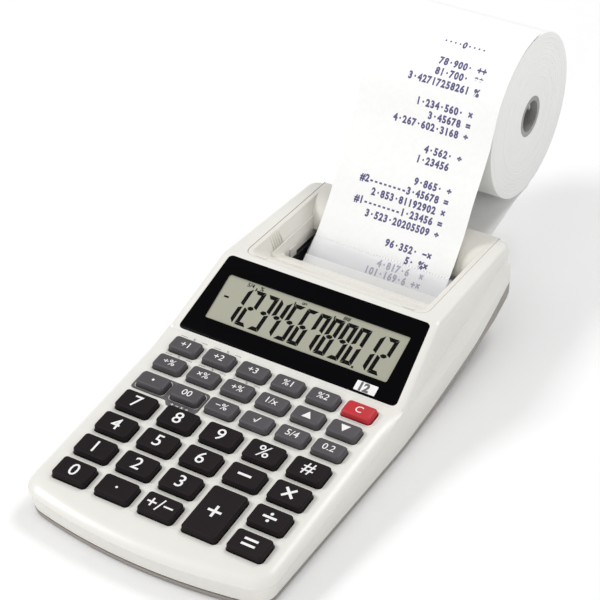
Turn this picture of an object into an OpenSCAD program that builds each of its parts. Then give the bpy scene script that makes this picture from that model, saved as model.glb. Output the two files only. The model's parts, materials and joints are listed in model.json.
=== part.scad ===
// Printing desk calculator: a sloped keyboard, a display, and a paper printer under a slide-off cover.
// Millimetres. +Z is up, +Y points to the rear, +X to the right-hand side.
// The origin is on the desk, under the middle of the whole object's footprint.

/* [Housing] */
// Width of the housing across the keyboard
body_w = 99; // [98:0.5:101]
// Length of the housing, front lip to rear edge
body_d = 191; // [190:0.5:193]
// Width of the housing at its rear edge
rear_w = 93; // [92:0.5:94]
// Height of the keyboard surface at the front lip
lip_h = 11.9; // [11.5:0.1:12.5]
// Slope of the keyboard surface, in degrees
key_slope = 6; // [5.5:0.1:6.5]
// Distance from the front lip to the foot of the display slope
display_y = 95.8; // [95.5:0.1:96.5]
// Slope of the display, in degrees
display_slope = 25.3; // [25:0.1:25.5]
// Length of the display slope
display_len = 36.2; // [36:0.1:36.5]
// Fall of the printer deck towards the rear, in degrees
deck_fall = 1.5; // [1:0.1:2]
// Wall thickness of the two housing shells
wall = 1.8; // [1.6:0.1:2]

/* [Keys] */
// Sideways pitch of the large keys
big_px = 17.5; // [17.4:0.05:17.6]
// Pitch of the large key rows up the slope
big_py = 12.4; // [12.3:0.05:12.5]
// Width of a large key
big_w = 13.6; // [13.4:0.1:13.8]
// Depth of a large key
big_d = 9; // [8.8:0.1:9.2]
// Sideways pitch of the small keys
small_px = 14.4; // [14.3:0.05:14.5]
// Pitch of the small key rows up the slope
small_py = 10.4; // [10.3:0.05:10.5]
// Width of a small key
small_w = 11.6; // [11.4:0.1:11.8]
// Depth of a small key
small_d = 6.8; // [6.6:0.1:7]
// Height of a key above the keyboard surface
key_h = 2.4; // [2.2:0.1:2.6]
// Travel of a key when it is pressed
key_travel = 1; // [0.8:0.1:1]
// Gap all round a key in its opening
key_gap = 0.3; // [0.25:0.05:0.35]

/* [Paper] */
// Width of the paper roll
paper_w = 58; // [57:0.5:58]
// Outside diameter of the paper roll
roll_d = 66.6; // [60:0.2:67]
// Outside diameter of the cardboard core
core_d = 16.5; // [16:0.1:17]
// Inside diameter of the cardboard core
core_bore = 12.6; // [12.4:0.1:12.8]
// Thickness given to the paper strip
paper_t = 0.25; // [0.2:0.05:0.3]

/* [Printer] */
// Diameter of the rubber feed roller
feed_d = 12; // [11.9:0.1:12.1]
// Diameter of the type wheel
type_d = 9; // [8.8:0.1:9]
// Diameter of the ink roller
ink_d = 6.4; // [6.2:0.1:6.4]

/* [Battery] */
// Diameter of one AA cell
cell_d = 14.5; // [14.3:0.1:14.5]
// Length of one AA cell without its button
cell_len = 49.2; // [49:0.1:49.5]

/* [Hidden] */
$fn = 64;
eps = 0.01;
facets = 24;
far = 400;

// --- housing ---
half_w = body_w / 2;
half_rear = rear_w / 2;
taper_y = 100;
front_r = 205;
body_corner = 9;
base_z = 0.8;
draft_z = 13;
draft_side = 2.4;
floor_t = 1.4;
hump_floor = 2.2;
sweep_r = 236;
bottom_y = 97;
parting_z = 2.4;
parting_y = 88;
ledge_z = 17.8;
ledge_y = 117;
deck_y = display_y + display_len * cos(display_slope);
deck_z = key_z(display_y) + display_len * sin(display_slope);
block_front_w = 49.2;
block_mid_w = 45.7;
block_rear_w = 43.8;
block_corner = 5;

// --- feet ---
FEET = [[-38, 20], [38, 20], [-31, 167], [31, 167]];
foot_r = 4;
foot_in = 0.6;

// --- the whole object's footprint ---
roll_y = 232;
roll_z = 65.3;
origin_y = (roll_y + roll_d / 2) / 2;

// --- keys ---
keys_u = 13.7;
small_u = keys_u + 50.2;
key_corner = 1.3;
flange = 0.6;
flange_t = 0.8;
stem_d = 3;
stem_len = 0.9;
shank_top = 1.5;
BIG_KEYS = [
    ["key_0", 0, 0], ["key_point", 1, 0], ["key_sign_change", 2, 0], ["key_equals", 4, 0],
    ["key_1", 0, 1], ["key_2", 1, 1], ["key_3", 2, 1], ["key_divide", 4, 1],
    ["key_4", 0, 2], ["key_5", 1, 2], ["key_6", 2, 2], ["key_subtract", 3, 2], ["key_multiply", 4, 2],
    ["key_7", 0, 3], ["key_8", 1, 3], ["key_9", 2, 3], ["key_percent", 3, 3], ["key_item", 4, 3]
];
TALL_KEYS = [["key_add", 3, 0]];
SMALL_KEYS = [
    ["key_mode", 0, 0], ["key_start", 1, 0], ["key_time", 2, 0],
    ["key_wave", 3, 0], ["key_rounding", 4, 0], ["key_decimals", 5, 0],
    ["key_memory_recall", 0, 1], ["key_memory_change", 1, 1], ["key_memory_total", 2, 1],
    ["key_exchange", 3, 1], ["key_feed", 4, 1], ["key_print", 5, 1],
    ["key_cost", 0, 2], ["key_sell", 1, 2], ["key_margin", 2, 2],
    ["key_rate", 3, 2], ["key_convert", 4, 2], ["key_clear", 5, 2]
];

// --- power jack ---
jack_y = 112;
jack_z = 11;
jack_r = 3.1;

// --- display ---
window_v = 0.4;
window_len = 34.9;
window_bottom_w = 45.5;
window_top_w = 42.2;
window_corner = 2;
window_t = 1.4;
window_proud = 0.15;
lcd_v = 8.1;
lcd_len = 19.4;
lcd_w = 76;
lcd_frame = 3.2;
lcd_t = 2.2;

// --- printer cover ---
cover_w = 38.2;
cover_y = 130.8;
cover_rear = 190.6;
cover_corner = 4;
cover_t = 1.4;
cover_gap = 0.2;
rim = 1.6;
ridge_w = 34.4;
ridge_y = 142.5;
ridge_z = 31.3;
mouth_w = 32.7;
mouth_y = 149.5;
mouth_z = 27.4;
guide_r = 12;
guide_y = 184;
seat_w = 1.2;
frame_w = 1.6;
latch_x = 31;
rib_count = 5;
rib_pitch = 1.5;
rib_y = 146;

// --- cutter ---
cutter_w = 32.2;
cutter_y = 154.9;
cutter_z = 22.9;
cutter_len = 11.5;
cutter_slope = 35;
cutter_t = 1;
tooth_pitch = 1.35;
tooth_len = 0.9;

// --- printer mechanism ---
feed_y = 165.5;
feed_z = 16.8;
type_y = 153.9;
type_z = 16.7;
ink_y = 148.3;
ink_z = 22.4;
carriage_x = 21;
carriage_w = 13;
shaft_r = 1.5;
side_x = 33.4;
side_t = 1.6;
rod_r = 1.2;
rod_y = 152;
rod_z = 8;
run_gap = 0.05;

// --- batteries ---
bay_w = 30.4;
bay_y = 93.2;
bay_len = 53.8;
bay_wall = 1.2;
cell_z = 9.45;
cell_y = 95.9;
hump_w = 37;
hump_y = 82;
hump_rear = 174;
hatch_y = 90.5;
hatch_len = 59;
hatch_w = 30;
hatch_t = 1.2;
hatch_slide = 7.5;
hatch_tongue = 2;

// --- paper arm ---
arm_x = -35.2;
arm_t = 3.6;
hinge_y = 199;
hinge_z = 24.5;
elbow_y = 213.5;
elbow_z = 45;
elbow_r = 4.6;
hinge_r = 1.5;
barrel_r = 4;
spindle_r = 5.8;
spindle_t = 1.5;
spindle_end = 26.5;
boss_r = 6.5;
ear_t = 1.55;
ear_gap = 0.2;

// --- paper path ---
slot_y = body_d + 1;
slot_z = 24;
exit_slope = 46;
wrap_gap = 0.4;

// Height of the keyboard surface at a distance y from the front lip.
function key_z(y) = lip_h + y * tan(key_slope);

// Height of the printer deck at a distance y from the front lip.
function deck_top(y) = deck_z - (y - deck_y) * tan(deck_fall);

// Left edge of the key field, so that both kinds of key fill the same width.
function field_left() = -(4 * big_px + big_w) / 2;

// Size and middle of a key in the keyboard's own plane: [middle x, middle u, width, depth].
function big_box(c, r) = [field_left() + c * big_px + big_w / 2, keys_u + r * big_py + big_d / 2, big_w, big_d];
function tall_box(c) = [field_left() + c * big_px + big_w / 2, keys_u + (big_py + big_d) / 2, big_w, big_py + big_d];
function small_box(c, r) =
    [field_left() + c * small_px + small_w / 2, small_u + r * small_py + small_d / 2, small_w, small_d];

KEYS = concat(
    [for (k = BIG_KEYS) [k[0], big_box(k[1], k[2]), 0]],
    [for (k = TALL_KEYS) [k[0], tall_box(k[1]), 0]],
    [for (k = SMALL_KEYS) [k[0], small_box(k[1], k[2]), k[0] == "key_clear" ? 2 : 1]]
);

// ---------- frames ----------

// Moves what is modelled from the front lip into the object's own frame.
module place() {
    translate([0, -origin_y, 0]) children();
}

// The keyboard's plane: local y runs up the slope and local z stands on it.
module on_keyboard() {
    translate([0, 0, lip_h]) rotate([key_slope, 0, 0]) children();
}

// The display's plane, from the foot of its slope.
module on_display() {
    translate([0, display_y, key_z(display_y)]) rotate([display_slope, 0, 0]) children();
}

// Extrudes a side view, drawn as [y, z], to a width w about the middle.
module across(w) {
    rotate([90, 0, 90]) translate([0, 0, -w / 2]) linear_extrude(w) children();
}

// A bar of radius r along X from x0 to x1, at [y, z].
module bar(r, x0, x1, y, z) {
    translate([x0, y, z]) rotate([0, 90, 0]) cylinder(h = x1 - x0, r = r);
}

// Corner points of a w x d rectangle whose corners are rounded with radius r in n steps.
function rounded(w, d, r, n = 4) = [
    for (q = [0:3], i = [0:n])
        let (a = 90 * q + 90 * i / n, sx = q == 0 || q == 3 ? 1 : -1, sy = q < 2 ? 1 : -1)
        [sx * (w / 2 - r) + r * cos(a), sy * (d / 2 - r) + r * sin(a)]
];

module rounded_rect(w, d, r, n = 4) {
    polygon(rounded(w, d, r, n));
}

// ---------- housing ----------

// Height reached at a distance y by an arc that leaves a level line z0 at y0.
function arc_z(z0, y0, y) = z0 + (y < y0 ? 0 : sweep_r - sqrt(pow(sweep_r, 2) - pow(y - y0, 2)));

// Everything above a floor that is level up to y0 and then sweeps up on an arc.
module above_sweep(z0, y0) {
    across(2 * half_w + 40) polygon(concat(
        [[y0 + 118, 90], [-20, 90], [-20, z0]],
        [for (a = [0:2:30]) [y0 + sweep_r * sin(a), z0 + sweep_r * (1 - cos(a))]]
    ));
}

// Outline of the housing from above: a gently bowed front, and sides that draw in towards the rear.
module body_plan(inset = 0) {
    bow = asin(half_w / front_r);
    offset(r = body_corner - inset, $fn = facets) offset(delta = -body_corner) polygon(concat(
        [for (i = [-8:8]) front_r * [sin(i * bow / 8), 1 - cos(i * bow / 8)]],
        [[half_w, taper_y], [half_rear, body_d], [-half_rear, body_d], [-half_w, taper_y]]
    ));
}

// The low body: drafted in below the lip, upright above it.
module low_body(inset = 0) {
    hull() {
        translate([0, 0, draft_z]) linear_extrude(30) body_plan(inset);
        linear_extrude(eps) body_plan(inset + draft_side);
    }
}

// The raised block that carries the display and the printer deck.
module block(inset = 0) {
    w0 = block_front_w - inset;
    w1 = block_mid_w - inset;
    w2 = block_rear_w - inset;
    end = body_d - inset;
    intersection() {
        linear_extrude(60) offset(r = block_corner, $fn = facets) offset(delta = -block_corner)
            polygon([[-w0, 88], [-w0, display_y], [-w1, deck_y + 2], [-w2, end],
                [w2, end], [w1, deck_y + 2], [w0, display_y], [w0, 88]]);
        across(2 * half_w) polygon([
            [88, 6], [88, key_z(88) - inset - 0.6], [display_y, key_z(display_y) - inset * 1.05],
            [deck_y, deck_z - inset * 1.05], [body_d + 1, deck_top(body_d + 1) - inset], [body_d + 1, 6]
        ]);
    }
}

// Solid form of the upper housing, shrunk by inset to make its inside.
module upper_form(inset = 0) {
    difference() {
        intersection() {
            low_body(inset);
            across(2 * half_w) polygon([
                [-5, 0], [-5, key_z(-5) - inset], [display_y + 1, key_z(display_y + 1) - inset],
                [display_y + 1, 34], [body_d + 5, 34], [body_d + 5, 0]
            ]);
        }
        intersection() {
            above_sweep(ledge_z - inset, ledge_y);
            translate([-far / 2, display_y + inset, 0]) cube([far, far, far]);
        }
    }
    block(inset);
}

// Prism through the keyboard at one key, grown by g on every side.
module key_prism(box, g, w0, w1, r = key_corner) {
    on_keyboard() translate([box[0], box[1], w0])
        linear_extrude(w1 - w0) rounded_rect(box[2] + 2 * g, box[3] + 2 * g, r);
}

module window_plan(inset = 0) {
    offset(r = window_corner - inset, $fn = facets) offset(delta = -window_corner)
        polygon([[-window_bottom_w, window_v], [window_bottom_w, window_v],
            [window_top_w, window_v + window_len], [-window_top_w, window_v + window_len]]);
}

module cover_plan(grow = 0) {
    difference() {
        translate([0, (cover_y + cover_rear) / 2 + 5])
            rounded_rect(2 * (cover_w + grow), cover_rear - cover_y + 10 + 2 * grow, cover_corner + grow);
        translate([-far / 2, cover_rear + grow]) square([far, far]);
    }
}

module screw_boss(x, y, z0, z1) {
    translate([x, y, z0]) difference() {
        cylinder(h = z1 - z0, r = 2.6);
        translate([0, 0, -1]) cylinder(h = 7, r = 0.9);
    }
}

// Case screws: [x, y, height of the foot of the boss above, height of its top].
SCREWS = [[-36, 9.4, 4.25, 12], [36, 9.4, 4.25, 12], [-40, 178, 18.6, 34.45], [40, 178, 18.6, 34.45]];

module upper_housing() {
    color("#e9e6de") place() {
        difference() {
            union() {
                difference() {
                    intersection() {
                        upper_form();
                        above_sweep(parting_z, parting_y);
                    }
                    upper_form(wall);
                }
                seat_frame();
            }
            for (k = KEYS) key_prism(k[1], key_gap, -wall - 1, 1);
            on_display() {
                translate([0, 0, -window_t]) linear_extrude(10) window_plan();
                translate([-lcd_w / 2 - 1, lcd_v - 1, -10]) cube([lcd_w + 2, lcd_len + 2, 12]);
            }
            cover_seat();
            jack_hole();
        }
        for (p = SCREWS) screw_boss(p[0], p[1], p[2], p[3]);
    }
}

// A thicker rim of the deck, which the rebate for the printer cover is cut into.
module seat_frame() {
    intersection() {
        translate([0, 0, 20]) linear_extrude(40) difference() {
            cover_plan(frame_w);
            cover_plan(-seat_w - 0.2);
        }
        across(2 * (cover_w + frame_w)) polygon([
            [cover_y - 4, deck_top(cover_y - 4) - 3.6], [cover_y - 4, deck_top(cover_y - 4) - 0.9],
            [body_d - 1, deck_top(body_d - 1) - 0.9], [body_d - 1, deck_top(body_d - 1) - 3.6]
        ]);
    }
}

// The rebate that the printer cover lies in, and the opening below it.
module cover_seat() {
    seat = cover_t + cover_gap;
    intersection() {
        linear_extrude(60) cover_plan(cover_gap);
        across(2 * cover_w + 2) polygon([
            [cover_y - 2, deck_top(cover_y - 2) - seat], [cover_y - 2, 60],
            [body_d + 5, 60], [body_d + 5, deck_top(body_d + 5) - seat]
        ]);
    }
    // the rebate runs out at the rear, so that the cover slides off
    translate([-cover_w - cover_gap, cover_rear, deck_top(body_d) - seat])
        cube([2 * (cover_w + cover_gap), 10, 20]);
    // the opening runs out through the rear wall
    translate([-cover_w + seat_w, cover_y + seat_w, 20])
        cube([2 * (cover_w - seat_w), body_d + 10 - cover_y, 30]);
}

module jack_hole() {
    bar(jack_r + 0.2, -60, -44, jack_y, jack_z);
}

// The tub under the rear half that holds the cells and the foot of the printer.
module hump(inset = 0) {
    translate([0, (hump_y + hump_rear) / 2, base_z])
        linear_extrude(22) rounded_rect(2 * (hump_w - inset), hump_rear - hump_y - 2 * inset, 6 - inset);
}

module lower_housing() {
    color("#a8a19b") place() difference() {
        union() {
            difference() {
                union() {
                    intersection() {
                        low_body();
                        above_sweep(base_z, bottom_y);
                    }
                    hump();
                }
                above_sweep(parting_z, parting_y);
                shell_room();
                hump_room();
            }
            battery_bay();
            intersection() {
                low_body(wall + cover_gap);
                for (p = SCREWS) screw_post(p[0], p[1]);
            }
            hinge_ears();
        }
        cell_opening();
        hatch_recess();
        rear_slot();
        for (p = SCREWS) screw_well(p[0], p[1]);
        for (p = FEET) translate([p[0], p[1], base_z - 1]) cylinder(h = 1 + foot_in, r = foot_r);
    }
}

// The inside of the shell above its thin floor.
module shell_room() {
    intersection() {
        low_body(wall);
        above_sweep(base_z + floor_t, bottom_y);
    }
}

// The hollow of the tub, open to the rest of the housing.
module hump_room() {
    w = hump_w - 1.6;
    translate([-w, hump_y + 1.6, base_z + hump_floor]) cube([2 * w, hump_rear - hump_y - 3.2, 60]);
}

bay_top = cell_z + cell_d / 2 + 0.4;

module battery_bay() {
    w = bay_w + bay_wall;
    translate([-w, bay_y - bay_wall, base_z + 0.4])
        cube([2 * w, bay_len + 2 * bay_wall, bay_top + bay_wall - base_z - 0.4]);
}

module cell_opening() {
    translate([-bay_w, bay_y, -5]) cube([2 * bay_w, bay_len, bay_top + 5]);
}

// The rebate for the battery cover, longer than the cover so that it can slide, with side grooves.
module hatch_recess() {
    y0 = hatch_y - hatch_slide - 0.2;
    len = hatch_len + hatch_slide + 0.4;
    translate([-hatch_w - 0.2, y0, -5]) cube([2 * hatch_w + 0.4, len, 5 + base_z + hatch_t + 0.15]);
    w = hatch_w + hatch_tongue + 0.2;
    translate([-w, y0, base_z + 0.45]) cube([2 * w, len, hatch_t - 0.3]);
}

// The notch in the rear wall that the paper runs in through.
module rear_slot() {
    translate([-paper_w / 2 - 1, body_d - 6, slot_z - 1.4]) cube([paper_w + 2, 12, 10]);
}

// Height of the underside at a distance y from the front lip.
function sweep_z(y) = arc_z(base_z, bottom_y, y);

module screw_post(x, y) {
    translate([x, y, sweep_z(y) + 0.6]) cylinder(h = 2.8, r = 3.4);
}

module screw_well(x, y) {
    translate([x, y, -5]) cylinder(h = sweep_z(y) + 7.2, r = 2.4);
    translate([x, y, -5]) cylinder(h = 40, r = 1.2);
}

// The two ears at the left rear that the paper arm turns in.
module hinge_ears() {
    for (x = [arm_x - ear_gap - ear_t, arm_x + arm_t + ear_gap]) difference() {
        hull() {
            bar(barrel_r, x, x + ear_t, hinge_y, hinge_z);
            translate([x, body_d - 4, 21.4]) cube([ear_t, 3, 3.2]);
        }
        bar(hinge_r, x - 1, x + ear_t + 1, hinge_y, hinge_z);
    }
}

module case_screws() {
    color("#9a9a98") place() for (p = SCREWS) translate([p[0], p[1], sweep_z(p[1]) + 1]) difference() {
        union() {
            cylinder(h = 1.2, r = 2.1);
            cylinder(h = p[2] + 5 - sweep_z(p[1]), r = 0.88);
        }
        for (a = [0, 90]) rotate(a) translate([-1.2, -0.25, -1]) cube([2.4, 0.5, 1.6]);
    }
}

module rubber_feet() {
    color("#2b2b2d") place() for (p = FEET)
        translate([p[0], p[1], 0]) cylinder(h = base_z + foot_in, r = foot_r - 0.05);
}

// ---------- printer cover ----------

// The dished form of the cover, lowered by drop to make its underside.
module dish(drop = 0) {
    rim_w = cover_w - rim;
    top = 60;
    // flanks: from the rim down to the ridge
    hull() {
        translate([-rim_w, cover_y + rim, 0]) translate([0, 0, deck_top(cover_y + rim) - drop])
            cube([2 * rim_w, eps, top]);
        translate([-rim_w, guide_y, deck_top(guide_y) - drop]) cube([2 * rim_w, eps, top]);
        translate([-ridge_w, ridge_y, ridge_z - drop]) cube([2 * ridge_w, guide_y - ridge_y - 6, top]);
    }
    // inner walls: from the ridge down to the mouth
    hull() {
        translate([-ridge_w, ridge_y, ridge_z - drop]) cube([2 * ridge_w, guide_y - ridge_y - 6, top]);
        translate([-mouth_w, mouth_y, mouth_z - drop]) cube([2 * mouth_w, guide_y - mouth_y - 8, top]);
    }
}

// The rounded guide at the rear of the mouth, which the paper leans away from.
module guide(r) {
    z = deck_top(guide_y) - guide_r;
    w = cover_w - rim;
    intersection() {
        union() {
            bar(r, -w, w, guide_y, z);
            translate([-w, guide_y, z]) cube([2 * w, cover_rear - guide_y + 5, r]);
        }
        translate([-far / 2, 0, z + 2.2]) cube([far, far, guide_r]);
    }
}

// The slab that the cover's rim is cut from.
module deck_slab(t) {
    across(2 * cover_w + 2) polygon([
        [cover_y - 2, deck_top(cover_y - 2) - t], [cover_y - 2, deck_top(cover_y - 2)],
        [cover_rear + 2, deck_top(cover_rear + 2)], [cover_rear + 2, deck_top(cover_rear + 2) - t]
    ]);
}

// The dished skin, with its guide at the rear.
module cover_form() {
    intersection() {
        linear_extrude(60) cover_plan();
        deck_slab(20);
        difference() {
            union() {
                deck_slab(cover_t);
                dish(cover_t);
            }
            difference() {
                dish(0);
                guide(guide_r);
            }
        }
    }
}

module printer_cover() {
    color("#e2dfd6") place() {
        difference() {
            cover_form();
            mouth();
            for (s = [-1, 1]) latch_notch(s * latch_x);
            // room for the foot of the paper arm, under the rim
            translate([-cover_w - 1, guide_y + 3, 20]) cube([cover_w - 28, 10, deck_top(guide_y) - 21.6]);
        }
        finger_ribs();
        for (s = [-1, 1]) cutter_tab(s);
    }
}

// The opening over the print line, and the hollow behind the guide.
module mouth() {
    translate([-mouth_w, mouth_y, 0]) cube([2 * mouth_w, 172 - mouth_y, 60]);
    z = deck_top(guide_y) - guide_r;
    bar(guide_r - cover_t, -mouth_w, mouth_w, guide_y, z);
    translate([-mouth_w, guide_y, 10])
        cube([2 * mouth_w, cover_rear - cover_t - guide_y, z + guide_r - cover_t - 10.3]);
}

module latch_notch(x) {
    translate([x - 2.4, cover_y - 1, deck_top(cover_y) - 0.5]) cube([4.8, 2.2, 3]);
}

// Grip ribs on both flanks of the cover.
module finger_ribs() {
    x = (ridge_w + cover_w - rim) / 2;
    for (s = [-1, 1], i = [0:rib_count - 1])
        translate([s * x - 1.4, rib_y + i * rib_pitch, 32.2]) cube([2.8, 0.7, 2]);
}

// One of the two tabs that hold the ends of the cutter.
module cutter_tab(s) {
    x0 = s > 0 ? cutter_w + 0.02 : -mouth_w - 1.2;
    translate([x0, cutter_y - 0.6, 22.6]) cube([mouth_w + 1.18 - cutter_w, 4.4, 5.6]);
}

module paper_cutter() {
    n = floor(2 * cutter_w / tooth_pitch);
    step = 2 * cutter_w / n;
    teeth = [for (i = [0:n - 1], t = [0, 0.5])
        [cutter_w - (i + t) * step, cutter_len + (t > 0 ? tooth_len : 0)]];
    color("#dfe6e8", 0.5) place()
        translate([0, cutter_y, cutter_z]) rotate([cutter_slope, 0, 0]) linear_extrude(cutter_t)
            polygon(concat([[-cutter_w, cutter_len], [-cutter_w, 0], [cutter_w, 0]], teeth));
}

// ---------- display ----------

module display_window() {
    color("#101012") place() on_display() translate([0, 0, -window_t + 0.05])
        linear_extrude(window_t + window_proud) window_plan(0.15);
}

module lcd_panel() {
    color("#9fa28a") place() on_display() translate([0, lcd_v + lcd_len / 2, -window_t - lcd_t - 0.3])
        linear_extrude(lcd_t) square([lcd_w, lcd_len], center = true);
}

// ---------- electronics ----------

sheet_t = 0.7;
board_t = 1.2;
board_w = 90;
board_u0 = 13.2;
board_u1 = 90.6;
sheet_top = -wall - 0.1 - flange_t - stem_len - key_travel - 0.1 + sheet_t;

module key_sheet() {
    color("#c9c7c0") place() on_keyboard() difference() {
        translate([-board_w / 2, board_u0, sheet_top - sheet_t])
            cube([board_w, board_u1 - board_u0, sheet_t]);
        for (k = KEYS) translate([k[1][0], k[1][1], sheet_top - 5]) cylinder(h = 10, r = stem_d / 2 + 0.5);
    }
}

module main_board() {
    below = sheet_top - sheet_t - board_t;
    color("#2f6b3a") place() {
        on_keyboard() {
            translate([-board_w / 2, board_u0, below]) cube([board_w, board_u1 - board_u0, board_t]);
            translate([-8, 48, below - 1.6]) cube([16, 16, 1.7]);
            translate([14, 50, below - 1.3]) cube([9, 6, 1.4]);
            translate([-30, 60, below - 1.3]) cube([12, 5, 1.4]);
        }
        power_jack();
    }
}

module power_jack() {
    inner = -45.7;
    difference() {
        union() {
            translate([inner, jack_y - 4.6, jack_z - 4.8]) cube([12, 9.2, 9.6]);
            translate([inner + 2, jack_y - 7, jack_z - 5.8]) cube([10.6, 14, board_t]);
        }
        bar(jack_r, inner - 1, inner + 4, jack_y, jack_z);
        difference() {
            bar(2.75, inner + 3, inner + 10, jack_y, jack_z);
            bar(0.8, inner + 4.5, inner + 12, jack_y, jack_z);
        }
    }
}

// ---------- batteries ----------

module battery_cover() {
    w = hatch_w + hatch_tongue;
    color("#9d968f") place() difference() {
        union() {
            translate([-hatch_w, hatch_y, base_z]) cube([2 * hatch_w, hatch_len, hatch_t]);
            translate([-w, hatch_y, base_z + 0.55]) cube([2 * w, hatch_len, hatch_t - 0.55]);
        }
        for (i = [0:4]) translate([-9, hatch_y + 4 + i * 2, -1]) cube([18, 0.8, 1 + base_z + 0.4]);
    }
}

cell_pitch = cell_d + 0.5;
contact_t = 0.4;
spring_len = 2.1;

// One cell's place across the bay; neighbouring cells point opposite ways.
function cell_x(i) = (i - 1.5) * cell_pitch;

module batteries() {
    shift = contact_t + spring_len + 0.15;
    color("#b08a3c") place() for (i = [0:3]) {
        y = i % 2 == 0 ? bay_y + shift : bay_y + bay_len - shift;
        translate([cell_x(i), y, cell_z]) rotate([i % 2 == 0 ? -90 : 90, 0, 0]) {
            cylinder(h = cell_len, r = cell_d / 2);
            cylinder(h = cell_len + 1, r = 2.75);
        }
    }
}

module battery_contacts() {
    color("#c8c8c4") place() for (i = [0:3]) translate([cell_x(i), 0, cell_z]) {
        for (y = [bay_y + 0.05, bay_y + bay_len - contact_t - 0.05])
            translate([-4.5, y, -4.5]) cube([9, contact_t, 9]);
        y = i % 2 == 0 ? bay_y + 0.1 : bay_y + bay_len - 0.1 - contact_t - spring_len;
        translate([0, y, 0]) rotate([-90, 0, 0]) difference() {
            cylinder(h = contact_t + spring_len, r = 3.2);
            translate([0, 0, i % 2 == 0 ? contact_t + 0.1 : -1]) cylinder(h = spring_len + 0.9, r = 2.5);
        }
    }
}

// ---------- printer mechanism ----------

module printer_frame() {
    color("#4a4a4e") place() {
        difference() {
            union() {
                for (s = [-1, 1]) translate([s * side_x - side_t / 2, 0, 0]) rotate([90, 0, 90])
                    linear_extrude(side_t) polygon([
                        [149, 3.2], [171, 3.2], [171, 21], [163, 21.6], [157, 21.6], [149, 15]
                    ]);
                translate([-side_x, 149, 3.2]) cube([2 * side_x, 22, 1]);
            }
            bar(shaft_r + run_gap, -40, 40, feed_y, feed_z);
        }
        bar(rod_r, -side_x - 1, side_x + 1, rod_y, rod_z);
        bar(rod_r, -side_x - 1, side_x + 1, rod_y + 5, rod_z - 1.5);
    }
}

module print_carriage() {
    w = carriage_w;
    color("#35353a") place() translate([carriage_x - w / 2, 0, 0]) difference() {
        union() {
            translate([0, 149.4, 4.8]) cube([w, 9.6, 5.4]);
            for (x = [0, w - 1.6]) translate([x, 0, 0]) rotate([90, 0, 90]) linear_extrude(1.6)
                polygon([[149.4, 9], [157.4, 9], [157.4, 18], [152.5, 22.5], [150.2, 24.6], [147, 24.6],
                    [146.4, 21], [149.6, 18.4]]);
        }
        bar(rod_r + run_gap, -1, w + 1, rod_y, rod_z);
        bar(rod_r + run_gap, -1, w + 1, rod_y + 5, rod_z - 1.5);
        bar(0.8 + run_gap, -1, w + 1, type_y, type_z);
        bar(0.8 + run_gap, -1, w + 1, ink_y, ink_z);
    }
}

module type_wheel() {
    x0 = carriage_x - carriage_w / 2 + 1.9;
    x1 = carriage_x + carriage_w / 2 - 1.9;
    color("#d8d2c0") place() union() {
        bar(type_d / 2, x0 + 0.4, x1 - 0.4, type_y, type_z);
        bar(0.8, x0 - 1.9, x1 + 1.9, type_y, type_z);
    }
}

module ink_roller() {
    x0 = carriage_x - carriage_w / 2 + 1.9;
    x1 = carriage_x + carriage_w / 2 - 1.9;
    color("#2b2a55") place() union() {
        bar(ink_d / 2, x0 + 0.4, x1 - 0.4, ink_y, ink_z);
        bar(0.8, x0 - 1.9, x1 + 1.9, ink_y, ink_z);
    }
}

module feed_roller() {
    color("#1f1f22") place() union() {
        bar(feed_d / 2, -paper_w / 2, paper_w / 2, feed_y, feed_z);
        bar(shaft_r, -side_x - 2.4, side_x + 2.4, feed_y, feed_z);
    }
}

module printer_motor() {
    color("#b7b9bb") place() {
        translate([38.2, 126, 17.4]) rotate([-90, 0, 0]) cylinder(h = 22.5, r = 5);
        translate([36, 148, 14.6]) cube([5.6, 18, 9.4]);
        translate([38.2, 123.5, 17.4]) rotate([-90, 0, 0]) cylinder(h = 3, r = 1.6);
    }
}

// ---------- paper and its arm ----------

module paper_arm() {
    color("#cfcdc8") place() {
        hull() {
            bar(barrel_r, arm_x, arm_x + arm_t, hinge_y, hinge_z);
            bar(elbow_r, arm_x, arm_x + arm_t, elbow_y, elbow_z);
        }
        hull() {
            bar(elbow_r, arm_x, arm_x + arm_t, elbow_y, elbow_z);
            bar(boss_r, arm_x, arm_x + arm_t, roll_y, roll_z);
        }
        bar(hinge_r - run_gap, arm_x - ear_gap - ear_t, arm_x + arm_t + ear_gap + ear_t, hinge_y, hinge_z);
        spindle();
    }
}

// A half-round channel, open below, that the core hangs on.
module spindle() {
    difference() {
        intersection() {
            bar(spindle_r, arm_x + arm_t - 0.5, spindle_end, roll_y, roll_z);
            translate([-far / 2, 0, roll_z]) cube([far, far, far]);
        }
        bar(spindle_r - spindle_t, arm_x + arm_t, spindle_end + 1, roll_y, roll_z);
    }
}

module paper_roll() {
    color("#f4f3ef") place() difference() {
        bar(roll_d / 2, -paper_w / 2, paper_w / 2, roll_y, roll_z);
        bar(core_d / 2, -paper_w, paper_w, roll_y, roll_z);
    }
}

module paper_core() {
    color("#8d8b86") place() difference() {
        bar(core_d / 2, -paper_w / 2, paper_w / 2, roll_y, roll_z);
        bar(core_bore / 2, -paper_w, paper_w, roll_y, roll_z);
    }
}

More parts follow.
